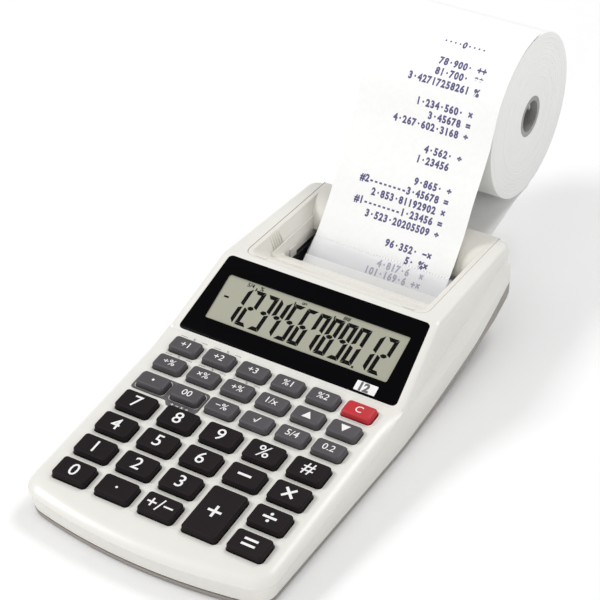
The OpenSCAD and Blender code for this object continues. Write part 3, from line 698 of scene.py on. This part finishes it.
def u_line(w, front, rear, r, z):
    """An open line: up the left side from the rear, across the front, back along the right side."""
    left = [(-w, rear + (front + r - rear) * k / 16) for k in range(16)]
    for k in range(9):
        a = math.radians(180 + 90 * k / 8)
        left.append((-w + r + r * math.cos(a), front + r + r * math.sin(a)))
    left += [(-w + r + (2 * w - 2 * r) * k / 12, front) for k in range(1, 6)]
    path = left + [(0, front)] + [(-x, y) for x, y in reversed(left)]
    return [(x, y, z(y) if callable(z) else z) for x, y in path]


def block_faces(shape, edge):
    """Display slope with its window opening, the soft crest, and the deck round the cover's rebate."""
    c = math.cos(DISPLAY_SLOPE)
    ys = [95 + (DECK_Y - CREST - 95) * k / 12 for k in range(13)]
    sides = [(edge_x(edge, y), (y - DISPLAY_Y) / c) for y in ys]
    hole = window_outline()
    shape.sheet([sides + [(-x, v) for x, v in reversed(sides)], hole], on_display)
    shape.loft([[on_display(x, v, w) for x, v in hole] for w in (0, -0.5, -1.4)])
    crest = [DECK_Y - CREST + 2 * CREST * k / 10 for k in range(11)]
    shape.loft([[(s * edge_x(edge, y), y, block_top(y)) for s in (-1, -0.5, 0, 0.5, 1)] for y in crest],
               closed=False)
    y0 = crest[-1]
    right = sorted([p for p in edge if p[0] > COVER_W and p[1] > y0 + 0.3], key=lambda p: (p[1], -p[0]))
    right = [(edge_x(edge, y0), y0)] + right
    g = COVER_GAP
    rim = u_line(COVER_W + g, COVER_Y - g, BODY_D, 4.2, deck_z)
    ring = right + [p[:2] for p in reversed(rim)] + [(-x, y) for x, y in reversed(right)]
    shape.sheet([ring], lambda x, y: (x, y, deck_z(y)))
    shape.loft([rim, [(x, y, z - 1.6) for x, y, z in rim],
                u_line(COVER_W - 1.2, COVER_Y + 1.2, BODY_D, 3, lambda y: deck_z(y) - 1.6),
                u_line(COVER_W - 1.2, COVER_Y + 1.2, BODY_D, 3, lambda y: deck_z(y) - 6)], closed=False)


def make_upper_housing():
    shape = Shape()
    low_shell(shape)
    block_faces(shape, raised_block(shape))
    return shape.build("upper_housing_shell", mats("cream"), "housing", ["upper_housing"],
                       30)


# ---------------------------------------------------------------- printer cover and tear bar

# The cover's flat rim, the ridge round its trough, and the mouth that the paper comes up through.
RIM = 1.6
RIDGE_W, RIDGE_Y, RIDGE_Z = 33.7, 142.5, 30.7
MOUTH_W, MOUTH_Y, MOUTH_Z = 32.7, 149.5, 27.4
GUIDE_R, GUIDE_Y = 12.0, 184.0
RIB_Y, RIB_PITCH, RIB_COUNT = 146.0, 1.5, 5
TAB_X, TAB_Y, TAB_Z = (32.25, 33.9), (154.3, 158.7), (22.6, 26.8)
LATCH_X, LATCH_HALF = 31.0, 2.4


def small_box(shape, x0, x1, y0, y1, z0, z1):
    shape.loft([[(x0, y0, z), (x1, y0, z), (x1, y1, z), (x0, y1, z)] for z in (z0, z1)], cap=True)


def under_deck(drop):
    """The deck's height less a drop, as a function of y."""
    return lambda y: deck_z(y) - drop


def cover_rim(shape):
    """The flat rim with its softened outer edge, as steps of (inwards, drop, corner radius)."""
    steps = [(0, 1.4, 4), (0, 0.3, 4), (0.09, 0.09, 3.9), (0.3, 0, 3.7), (RIM, 0, 2.8)]
    shape.loft([u_line(COVER_W - d, COVER_Y + d, COVER_REAR, r, under_deck(drop)) for d, drop, r in steps],
               closed=False)


def cover_trough(shape):
    """The dished middle: from the rim down to the ridge, over it and into the mouth."""
    shape.loft([
        u_line(COVER_W - RIM, COVER_Y + RIM, GUIDE_Y + 3, 2.8, under_deck(0)),
        u_line(COVER_W - RIM - 0.25, COVER_Y + RIM + 0.3, GUIDE_Y, 2.6, under_deck(0.15)),
        u_line(RIDGE_W + 0.5, RIDGE_Y - 1.0, GUIDE_Y, 2.2, RIDGE_Z + 0.35),
        u_line(RIDGE_W + 0.25, RIDGE_Y - 0.5, GUIDE_Y, 2.1, RIDGE_Z + 0.62),
        u_line(RIDGE_W - 0.15, RIDGE_Y + 0.3, GUIDE_Y, 2, RIDGE_Z + 0.5),
        u_line(RIDGE_W - 0.35, RIDGE_Y + 0.7, GUIDE_Y, 1.8, RIDGE_Z - 0.3),
        u_line(MOUTH_W + 0.15, MOUTH_Y - 0.5, GUIDE_Y, 1.5, MOUTH_Z + 0.3),
        u_line(MOUTH_W, MOUTH_Y, GUIDE_Y, 1.4, MOUTH_Z),
        u_line(MOUTH_W, MOUTH_Y, GUIDE_Y, 1.4, lambda y: 25.8 - 2.4 * smoothstep(151, 154, y)),
    ], closed=False)


def cover_guide(shape):
    """The rounded guide that the paper passes over at the cover's rear."""
    w = COVER_W - RIM
    z0 = deck_z(GUIDE_Y) - GUIDE_R
    arc = [(GUIDE_Y - GUIDE_R * math.sin(math.radians(a)), z0 + GUIDE_R * math.cos(math.radians(a)))
           for a in range(79, -1, -5)]
    profile = [(arc[0][0] + 1.4, arc[0][1]), *arc, (COVER_REAR, deck_z(COVER_REAR)),
               (COVER_REAR, deck_z(COVER_REAR) - 1.4)]
    shape.loft([[(s * w, y, z) for s in (-1, -0.5, 0, 0.5, 1)] for y, z in profile], closed=False)


def cover_details(shape):
    """On each side the grip ribs, the tab that holds the tear bar, and a latch pad."""
    z = deck_z(COVER_Y + 0.8)
    for s in (-1, 1):
        for i in range(RIB_COUNT):
            add_rib(shape, s, RIB_Y + RIB_PITCH * i)
        small_box(shape, *sorted(s * x for x in TAB_X), *TAB_Y, *TAB_Z)
        small_box(shape, s * LATCH_X - LATCH_HALF, s * LATCH_X + LATCH_HALF, COVER_Y + 0.35, COVER_Y + 1.15,
                  z - 0.2, z + 0.28)


def make_cover():
    shape = Shape()
    cover_rim(shape)
    cover_trough(shape)
    cover_guide(shape)
    cover_details(shape)
    return shape.build("printer_cover_shell", mats("cover"), "cover", ["printer_cover"], 30)


def add_rib(shape, side, y):
    """A slim grip rib that lies up the cover's flank."""
    top = (COVER_W - RIM - 0.2, deck_z(y) - 0.5)
    low = (RIDGE_W + 0.3, RIDGE_Z + 0.7)
    run = [(low[0] + (top[0] - low[0]) * t, low[1] + (top[1] - low[1]) * t, h)
           for t, h in ((0, 0), (0.08, 0.35), (0.5, 0.45), (0.92, 0.35), (1, 0))]
    rows = []
    for dy, up in ((-0.38, -0.2), (-0.2, 0.9), (0, 1.0), (0.2, 0.9), (0.38, -0.2)):
        rows.append([(side * (x - h * up * 0.9), y + dy, z + h * up * 0.45) for x, z, h in run])
    shape.loft(rows, closed=False)


# The bar runs from minus left to right in x, and up its slope from its foot to the root of its teeth.
CUTTER_LEFT, CUTTER_RIGHT = 26.8, 32.2
CUTTER_FOOT, CUTTER_LEN = 3.3, 10.9
CUTTER_Y, CUTTER_Z = 154.9, 22.9
CUTTER_SLOPE = math.radians(35)
TEETH, TOOTH_H = 47, 0.9


def on_cutter(x, v, w):
    """A point of the bar's own frame: v runs up its slope and w stands on it."""
    c, s = math.cos(CUTTER_SLOPE), math.sin(CUTTER_SLOPE)
    return (x, CUTTER_Y + v * c - w * s, CUTTER_Z + v * s + w * c)


def make_cutter():
    """The clear bar with its row of teeth, and the clear flange in front of the print line."""
    shape = Shape()
    step = (CUTTER_LEFT + CUTTER_RIGHT) / TEETH
    saw = []
    for i in range(TEETH):
        saw.append((CUTTER_RIGHT - i * step, CUTTER_LEN))
        saw.append((CUTTER_RIGHT - (i + 0.5) * step, CUTTER_LEN + TOOTH_H))
    blade = [(-CUTTER_LEFT, CUTTER_LEN), (-CUTTER_LEFT, CUTTER_FOOT), (CUTTER_RIGHT, CUTTER_FOOT)] + saw
    foot = [(-CUTTER_LEFT, CUTTER_FOOT), (-CUTTER_LEFT, 0), (CUTTER_RIGHT, 0), (CUTTER_RIGHT, CUTTER_FOOT)]
    for slot, part in enumerate((blade, foot)):
        for w in (0.0, 1.0):
            shape.sheet([part], lambda x, v: on_cutter(x, v, w), slot)
        shape.loft([[on_cutter(x, v, w) for x, v in part] for w in (0.0, 1.0)], slot=slot)
    flange = [(CUTTER_Y + 0.1, CUTTER_Z), (CUTTER_Y - 0.3, CUTTER_Z + 0.8), (149.9, 26.5), (149.8, 25.7)]
    shape.loft([[(x, y, z) for y, z in flange] for x in (-CUTTER_LEFT, 0, CUTTER_RIGHT)], slot=1)
    return shape.build("tear_bar", mats("clear", "frosted"), "cover", ["paper_cutter"], 20)


# ---------------------------------------------------------------- display

LCD_LOW, LCD_TOP, LCD_HALF = 8.0, 27.6, 38.0
LCD_MID = (LCD_LOW + LCD_TOP) / 2
LENS_LEVEL, LCD_LEVEL, SEGMENT_LEVEL = 0.15, -0.3, -0.285
DIGITS = "123456789012"
DIGIT_X, DIGIT_V, DIGIT_PITCH = -31.8, 9.4, 5.54
DIGIT_H, DIGIT_W, SEGMENT_T = 15.7, 4.65, 1.6
SLANT = 0.07
TICKS_AFTER, POINT_AFTER = (0, 3, 6), 9
SIGNS = [(-28.0, "5/4"), (-23.2, "%"), (-5.2, "∞"), (12.6, "##")]
SIGNS_V = 26.2
LABEL_X, LABEL_V = 32.2, 3.4
SEGMENTS = {"0": "abcdef", "1": "bc", "2": "abged", "3": "abgcd", "4": "fgbc", "5": "afgcd", "6": "afgedc",
            "7": "abcf", "8": "abcdefg", "9": "abcdfg"}


def segment_shapes(w, h, t):
    """Outlines of the seven bars of a digit, w wide and h high, t thick."""
    g, m = 0.14, h / 2

    def across(y, dy):
        return [(g, y), (w - g, y), (w - g - 0.8 * t, y + dy), (g + 0.8 * t, y + dy)]

    def down(x, dx, y0, y1, low_cut, high_cut):
        return [(x, y0 + g), (x, y1 - g), (x + dx, y1 - g - high_cut), (x + dx, y0 + g + low_cut)]

    return {
        "a": across(h, -t), "d": across(0, t),
        "f": down(0, t, m, h, 0.5 * t, t), "b": down(w, -t, m, h, 0.5 * t, t),
        "e": down(0, t, 0, m, t, 0.5 * t), "c": down(w, -t, 0, m, t, 0.5 * t),
        "g": [(g + t * 0.5, m), (g + t, m + t / 2), (w - g - t, m + t / 2), (w - g - t * 0.5, m),
              (w - g - t, m - t / 2), (g + t, m - t / 2)],
    }


def make_lens():
    """The black window with a clear pane over the liquid crystal panel."""
    shape = Shape()
    rim = [(0.12, -1.2), (0.12, 0.02), (0.17, 0.12), (0.3, LENS_LEVEL)]
    shape.loft([[on_display(x, v, level) for x, v in window_outline(d)] for d, level in rim])
    hole = shifted(rect(2 * LCD_HALF, LCD_TOP - LCD_LOW, 0.8), 0, LCD_MID)
    shape.sheet([window_outline(0.3), hole], lambda x, v: on_display(x, v, LENS_LEVEL))
    shape.loft([[on_display(x, v, level) for x, v in hole] for level in (LENS_LEVEL, LCD_LEVEL)])
    pane = shifted(rect(2 * LCD_HALF - 0.02, LCD_TOP - LCD_LOW - 0.02, 0.8), 0, LCD_MID)
    shape.sheet([pane], lambda x, v: on_display(x, v, 0.13), 1)
    shape.build("display_lens", mats("window", "pane"), "housing", ["display_window"], 30)


def on_lcd(x, v):
    """A point just above the liquid crystal panel's face, where its segments show."""
    return on_display(x, v, SEGMENT_LEVEL)


def add_mark(shape, x, v, w, h):
    """A dark rectangle on the panel about (x, v)."""
    corners = [(x - w / 2, v - h / 2), (x + w / 2, v - h / 2), (x + w / 2, v + h / 2),
               (x - w / 2, v + h / 2)]
    shape.sheet([corners], on_lcd, 1)


def make_lcd():
    """The panel with its slanted digits, tick marks, point and small signs."""
    panel = Shape()
    face = shifted(rect(2 * LCD_HALF + 0.4, LCD_TOP - LCD_LOW + 0.4, 0.9), 0, LCD_MID)
    panel.sheet([face], lambda x, v: on_display(x, v, LCD_LEVEL))
    panel.loft([[on_display(x, v, level) for x, v in face] for level in (LCD_LEVEL, -2.4)])
    bars = segment_shapes(DIGIT_W, DIGIT_H, SEGMENT_T)
    for i, digit in enumerate(DIGITS):
        x0 = DIGIT_X + i * DIGIT_PITCH
        for bar in SEGMENTS[digit]:
            points = [(x0 + x + SLANT * y, DIGIT_V + y) for x, y in bars[bar]]
            panel.sheet([points], on_lcd, 1)
        if i in TICKS_AFTER:
            add_mark(panel, x0 + DIGIT_W + 0.75 + SLANT * DIGIT_H, DIGIT_V + DIGIT_H + 0.1, 0.5, 1.3)
        if i == POINT_AFTER:
            add_mark(panel, x0 + DIGIT_W + 0.75, DIGIT_V - 0.1, 0.85, 0.85)
    for x, sign in SIGNS:
        letters, faces = lettering(sign, 1.7, 0.02)
        panel.add([on_lcd(x + a, SIGNS_V + b) for a, b in letters], faces, 1)
    add_mark(panel, -34.6, 18.6, 2.0, 0.8)
    panel.build("lcd_face", mats("lcd", "segments"), "housing", ["lcd_panel"], 30)


def make_label():
    """The small white label with a plain number in the window's corner."""
    label = Shape()
    label.sheet([shifted(rect(8.4, 3.9, 0.3), LABEL_X, LABEL_V)], lambda x, v: on_display(x, v, 0.165))
    letters, faces = lettering("12", 3.3, 0.05)
    label.add([on_display(LABEL_X - 0.5 + a, LABEL_V + b, 0.18) for a, b in letters], faces, 1)
    label.build("display_label", mats("white_ink", "grey_ink"), "housing")


# ---------------------------------------------------------------- keys

CAP_BIG = [(0, 1.7), (0.06, 1.95), (0.2, 2.17), (0.42, 2.32), (0.75, 2.4)]
CAP_SMALL = [(0, 1.5), (0.1, 1.82), (0.3, 2.1), (0.62, 2.3), (1.05, 2.4)]


def make_key(node, x, u, w, d, legend, kind):
    """One cap with its flange, stem and printed legend."""
    shape = Shape()

    def lift(outline, level):
        return [keyboard(x + px, u + pu, level) for px, pu in outline]

    flange = rect(w + 1.2, d + 0.7, 0.8, 4)
    side = rect(w, d, 1.3, 6)
    shape.loft([lift(flange, -2.5), lift(flange, -1.95)], cap=True)
    rings = [lift(side, -2.0)]
    top = side
    for gap, level in (CAP_BIG if kind == "big" else CAP_SMALL):
        top = rect(w - 2 * gap, d - 2 * gap, max(0.55, 1.3 - gap * 0.45), 6)
        rings.append(lift(top, level))
    shape.loft(rings)
    shape.sheet([top], lambda px, pu: keyboard(x + px, u + pu, KEY_H))
    stem = [(1.25 * math.cos(k * math.pi / 8), 1.25 * math.sin(k * math.pi / 8)) for k in range(16)]
    shape.loft([lift(stem, -2.4), lift(stem, -2.9)], cap=True)
    size = {"big": 5.4, "small": 2.9, "red": 3.0}[kind]
    if legend in "+−×÷=":
        size *= 1.45
    letters, faces = lettering(legend, size, 0.004)
    width = max([p[0] for p in letters] + [1]) - min([p[0] for p in letters] + [-1])
    fit = min(1.0, (w - 3) / width)
    shape.add([keyboard(x + a * fit, u + b, KEY_H + 0.02) for a, b in letters], faces, 1)
    plastic = {"big": "dark_key", "small": "grey_key", "red": "red_key"}[kind]
    return shape.build(node + "_cap", mats(plastic, "white_ink"), node, [node], 26)


def key_place(node):
    """Middle x, middle u, width and depth of a key."""
    return next((x, u, w, d) for n, x, u, w, d, _, _ in KEYS if n == node)


def patch_print(shape):
    """The dark patch that two keys share, with a row of signs below the second."""
    x0, u0, w, d = key_place("key_mode")
    x1 = key_place("key_start")[0]
    holes = [shifted(rect(w + 1.1, d + 1.1, 1.6), x, u0) for x in (x0, x1)]
    left, right, step = x0 - w / 2 - 1.4, x1 + w / 2 + 1.4, x1 - w / 2 - 0.6
    low, lower, high = u0 - d / 2 - 1.4, u0 - d / 2 - 3.3, u0 + d / 2 + 1.4
    patch = rounded_path([(left, low, 1.5), (step, low, 0.5), (step + 1.5, lower, 1), (right - 1, lower, 1),
                          (right, low, 1), (right, high, 1.8), (left, high, 1.8)])
    shape.sheet([patch, *holes], lambda x, u: keyboard(x, u, 0.015), 2)
    letters, faces = lettering("+ − × ÷", 1.7, 0.01)
    shape.add([keyboard(x1 + a, lower + 1.25 + b, 0.03) for a, b in letters], faces, 1)


def bracket_print(shape, node):
    """Two corner brackets over a key with a percent sign between them."""
    x, u, w, d = key_place(node)
    top = u + d / 2 + 2.3
    for s in (-1, 1):
        outer, inner, end = x + s * (w / 2 - 0.2), x + s * (w / 2 - 0.38), x + s * 3.0
        corner = [(outer, top - 0.5), (outer, top), (end, top), (end, top - 0.18), (inner, top - 0.18),
                  (inner, top - 0.5)]
        shape.sheet([corner], lambda a, b: keyboard(a, b, 0.015))
    letters, faces = lettering("%", 1.3)
    shape.add([keyboard(x + a, top + b, 0.015) for a, b in letters], faces)


def red_key_frame(shape):
    """The raised white frame round the red key."""
    x, u, w, d = key_place("key_clear")
    outer, inner = rect(w + 2.0, d + 2.0, 1.9), rect(w + 1.1, d + 1.1, 1.6)
    rings = [(outer, 0.0), (inset(outer, 0.12), 0.3), (inner, 0.3), (inner, 0.0)]
    shape.loft([[keyboard(x + a, u + b, level) for a, b in path] for path, level in rings], slot=1)


def make_prints():
    """What is printed on the keyboard plate, and the red key's frame."""
    shape = Shape()
    patch_print(shape)
    for node in ("key_cost", "key_sell", "key_memory_recall", "key_memory_change", "key_memory_total"):
        bracket_print(shape, node)
    red_key_frame(shape)
    shape.build("keyboard_prints", mats("grey_ink", "white_ink", "patch_ink"), "housing")


# ---------------------------------------------------------------- paper

FEED_Y, FEED_Z, FEED_LOOP = 165.5, 16.8, 6.275
STRIP_W, STRIP_T = 58.0, 0.16
WRAP_R, WRAP_LIFT = 33.85, 0.5

# The paper's run as (y, z): in under the roll towards the feed roller, and from there up to the roll.
SUPPLY_RUN = [(236, 31.7), (227, 31.6), (212, 28.3), (192, 24.0), (176, 20.0)]
PRINTED_RUN = [(163.2, 22.9), (166.9, 26.5), (171, 30.4), (178.6, 40), (185, 51), (191.6, 60.3),
               (197, 68.4)]
STRIP_END = (236, 100.0)

CHAR_H, CHAR_PITCH, TEXT_RIGHT = 2.8, 1.99, 18.3
FIRST_ROW, ROW_PITCH = 1.1, 4.25
ROWS = [
    "101·169·6 +×", "", "4·817·6  ×", "5· %×", "96·352· −×", "",
    "3·523·20205509 ÷", "#1--------1·23456 =", "2·853·81192902 ×", "#2--------3·45678 =", "9·865· ÷", "",
    "1·23456  ", "4·562· ÷", "", "4·267·602·3168 ÷", "3·45678 =", "1·234·560· ×", "",
    "3·42717258261 %", "81·700· **", "78·900· ++", "", "····0····  ",
]


def about(y, z, r, degrees):
    """The point at that angle on a circle in the (y, z) plane."""
    a = math.radians(degrees)
    return (y + r * math.cos(a), z + r * math.sin(a))


def smoothed(line, reach=3):
    """A line with each inner point moved to the mean of its neighbours."""
    inner = []
    for i in range(1, len(line) - 1):
        near = line[max(0, i - reach):i + reach + 1]
        inner.append(sum(near, Vector((0, 0))) / len(near))
    return [line[0]] + inner + [line[-1]]


def strip_line():
    """The paper's run in the (y, z) plane, in steps of half a millimetre."""
    points = SUPPLY_RUN + [about(FEED_Y, FEED_Z, FEED_LOOP, a) for a in range(-38, -215, -8)] + PRINTED_RUN
    for a in range(160, 91, -6):
        points.append(about(ROLL_Y, ROLL_Z, WRAP_R + WRAP_LIFT * (1 - smoothstep(92, 140, a)), a))
    points.append(STRIP_END)
    line = [Vector(p) for p in points]
    fine = []
    for a, b in zip(line, line[1:]):
        k = max(1, round((b - a).length / 0.5))
        fine += [a.lerp(b, j / k) for j in range(k)]
    fine.append(line[-1])
    for _ in range(3):
        fine = smoothed(fine)
    return fine


STRIP = strip_line()
STRIP_S = np.cumsum([0] + [(b - a).length for a, b in zip(STRIP, STRIP[1:])])


def on_strip(x, s, lift=0.0):
    """A point of the paper: s runs along it from its hidden end, lift stands on its printed face."""
    i = int(np.clip(np.searchsorted(STRIP_S, s) - 1, 0, len(STRIP) - 2))
    t = (s - STRIP_S[i]) / max(1e-9, STRIP_S[i + 1] - STRIP_S[i])
    p = STRIP[i].lerp(STRIP[i + 1], float(np.clip(t, 0, 1)))
    a, b = STRIP[max(0, i - 2)], STRIP[min(len(STRIP) - 1, i + 3)]
    tangent = (b - a).normalized()
    return (x, p.x - tangent.y * lift, p.y + tangent.x * lift)


GLYPHS = {}


def print_row(shape, text, s):
    """One row of figures across the strip at s, set from the right."""
    for i, char in enumerate(reversed(text)):
        if char == " ":
            continue
        if char not in GLYPHS:
            GLYPHS[char] = lettering(char, CHAR_H, 0.05, 0.84, on_line=True)
        letters, faces = GLYPHS[char]
        x = TEXT_RIGHT - CHAR_PITCH * i
        shape.add([on_strip(x + a, s + b, STRIP_T / 2 + 0.03) for a, b in letters], faces, 1)


def strip_piece(name, s0, s1, rows=()):
    """The paper from s0 to s1 with rows of (text, s)."""
    shape = Shape()
    steps = max(8, int((s1 - s0) / 1.2))
    run = [s0 + (s1 - s0) * k / steps for k in range(steps + 1)]
    across = [STRIP_W * (k / 12 - 0.5) for k in range(13)]
    for lift in (STRIP_T / 2, -STRIP_T / 2):
        shape.loft([[on_strip(x, s, lift) for x in across] for s in run], closed=False)
    for x in (-STRIP_W / 2, STRIP_W / 2):
        shape.loft([[on_strip(x, s, lift) for s in run] for lift in (-STRIP_T / 2, STRIP_T / 2)],
                   closed=False)
    for text, s in rows:
        print_row(shape, text, s)
    obj = shape.build(name, mats("paper", "print"), None, sharp=60)
    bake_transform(obj)
    return obj


def make_paper():
    """The strip in two pieces that meet behind the feed roller: blank supply and printed run."""
    turn = STRIP_S[next(i for i, p in enumerate(STRIP) if i > 60 and p.x < 163 and p.y > 18.2)]
    end = STRIP_S[-1]
    starts = [5.9] + [FIRST_ROW + ROW_PITCH * i for i in range(1, len(ROWS))]
    rows = [(row, turn + start) for row, start in zip(ROWS, starts) if row and turn + start < end - 3]
    lower = strip_piece("paper_supply", 0, turn)
    upper = strip_piece("paper_strip", turn, end, rows)
    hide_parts("paper_web")
    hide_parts("paper_web")


def disc_ring(r, x, n=96):
    """A circle about the roll's axis at x."""
    return [(x, ROLL_Y + r * math.cos(2 * math.pi * k / n), ROLL_Z + r * math.sin(2 * math.pi * k / n))
            for k in range(n)]


def make_wound_roll():
    """The wound paper, with softened edges and a few turns that stand out at its ends."""
    r1, r0 = ROLL_D / 2, CORE_D / 2
    half = STRIP_W / 2
    shape = Shape()
    shape.loft([disc_ring(r0, -half), disc_ring(r1 - 0.3, -half), disc_ring(r1, -half + 0.25),
                disc_ring(r1, half - 0.25), disc_ring(r1 - 0.3, half), disc_ring(r0, half)])
    for k in range(14):
        r = r0 + 1.2 + (r1 - r0 - 2) * (k + random.random() * 0.5) / 14
        out = half + 0.03 + 0.05 * random.random()
        for s in (-1, 1):
            shape.loft([disc_ring(r - 0.12, s * half), disc_ring(r - 0.05, s * out),
                        disc_ring(r + 0.05, s * out), disc_ring(r + 0.12, s * half)])
    shape.build("paper_roll_wound", mats("roll"), "roll", ["paper_roll"], 40)


def make_core():
    """The cardboard tube in the roll, with its edges softened."""
    half, outer = STRIP_W / 2, CORE_D / 2
    bore = outer - 1.9
    shape = Shape()
    shape.loft([disc_ring(bore, -half), disc_ring(outer - 0.1, -half), disc_ring(outer - 0.05, -half + 0.1),
                disc_ring(outer - 0.05, half - 0.1), disc_ring(outer - 0.1, half), disc_ring(bore, half),
                disc_ring(bore, -half)])
    shape.build("roll_core", mats("card"), "roll", ["paper_core"], 30)


# ---------------------------------------------------------------- the rest of the machine

# Nodes kept in their CAD shape: material, slot name, and how far their edges are softened.
PLAIN = {
    "lower_housing": ("grey", "housing_grey", 0.3),
    "main_board": ("board", "circuit_board", 0.08),
    "key_sheet": ("sheet", "key_sheet", 0.05),
    "case_screws": ("steel", "steel", 0.08),
    "rubber_feet": ("rubber", "rubber_black", 0.3),
    "battery_cover": ("grey", "housing_grey", 0.3),
    "batteries": ("jacket", "cell_jacket", 0.3),
    "battery_contacts": ("steel", "steel", 0.05),
    "printer_frame": ("mechanism", "mechanism_black", 0.15),
    "print_carriage": ("mechanism", "mechanism_black", 0.15),
    "type_wheel": ("type", "type_white", 0.05),
    "ink_roller": ("felt", "ink_felt", 0.1),
    "feed_roller": ("rubber", "roller_rubber", 0.15),
    "printer_motor": ("steel", "motor_steel", 0.15),
    "paper_arm": ("arm", "arm_grey", 0.35),
}


def make_plain():
    for node, (look, slot, bevel) in PLAIN.items():
        refined(node, M[look].mat, frame["nodes"][node]["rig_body"], bevel)


# ---------------------------------------------------------------- studio

# Each lamp: name, place in metres, width, power.
LAMPS = [
    ("key_light", (-0.9, -0.45, 1.0), 0.45, 8.4),
    ("top_light", (0.25, 0.75, 1.2), 0.6, 7),
    ("front_light", (0.1, -1.2, 0.35), 0.5, 3),
    ("side_light", (1.2, -0.1, 0.5), 0.6, 2.0),
]
LAMP_TARGET = Vector((0, 0, 0.03))
CAMERA_PLACE = (285.7, -368.3, 445.2)
CAMERA_AZIMUTH, CAMERA_ELEVATION = math.radians(30.975), math.radians(35.849)
CAMERA_LENS, CAMERA_SENSOR = 116.1, 36


def aim(obj, place, direction):
    """Links a lamp or camera at a place, looking along a direction."""
    obj.location = place
    obj.rotation_euler = direction.to_track_quat("-Z", "Y").to_euler()
    bpy.context.scene.collection.objects.link(obj)


def make_floor():
    """The plain pale floor, which isn't part of the object."""
    floor = Look("pale_floor", (0.90, 0.90, 0.90), 0.75)
    floor.bump(floor.noise(90, 3.0), 0.08, 0.05)
    floor.vary_color(floor.noise(3, 2.0), (0.88, 0.88, 0.88))
    mesh = bpy.data.meshes.new("floor")
    bm = bmesh.new()
    bmesh.ops.create_grid(bm, x_segments=8, y_segments=8, size=4)
    bm.to_mesh(mesh)
    bm.free()
    mesh.materials.append(floor.mat)
    obj = bpy.data.objects.new("floor", mesh)
    bpy.context.scene.collection.objects.link(obj)


def make_lights():
    """A white surround and four soft lamps."""
    world = bpy.data.worlds.new("studio")
    world.use_nodes = True
    world.node_tree.nodes["Background"].inputs["Color"].default_value = (1, 1, 1, 1)
    world.node_tree.nodes["Background"].inputs["Strength"].default_value = 0.5
    bpy.context.scene.world = world
    for name, place, size, power in LAMPS:
        data = bpy.data.lights.new(name, "AREA")
        data.shape = "DISK"
        data.size = size
        data.energy = power
        aim(bpy.data.objects.new(name, data), place, LAMP_TARGET - Vector(place))
    bpy.context.scene.view_settings.view_transform = "Standard"


def make_camera():
    """The camera at the photograph's place and angle."""
    data = bpy.data.cameras.new("camera")
    data.sensor_width = CAMERA_SENSOR
    data.lens = CAMERA_LENS
    level = math.cos(CAMERA_ELEVATION)
    look = Vector((-math.sin(CAMERA_AZIMUTH) * level, math.cos(CAMERA_AZIMUTH) * level,
                   -math.sin(CAMERA_ELEVATION)))
    camera = bpy.data.objects.new("camera", data)
    aim(camera, at(*CAMERA_PLACE), look)
    bpy.context.scene.camera = camera


make_plastics()
make_inks()
make_clear_and_glass()
make_papers()
make_inner_parts()
make_upper_housing()
make_cover()
make_cutter()
make_lens()
make_lcd()
make_label()
for key in KEYS:
    make_key(*key)
make_prints()
make_paper()
make_wound_roll()
make_core()
make_plain()
make_floor()
make_lights()
make_camera()

bpy.context.view_layer.update()
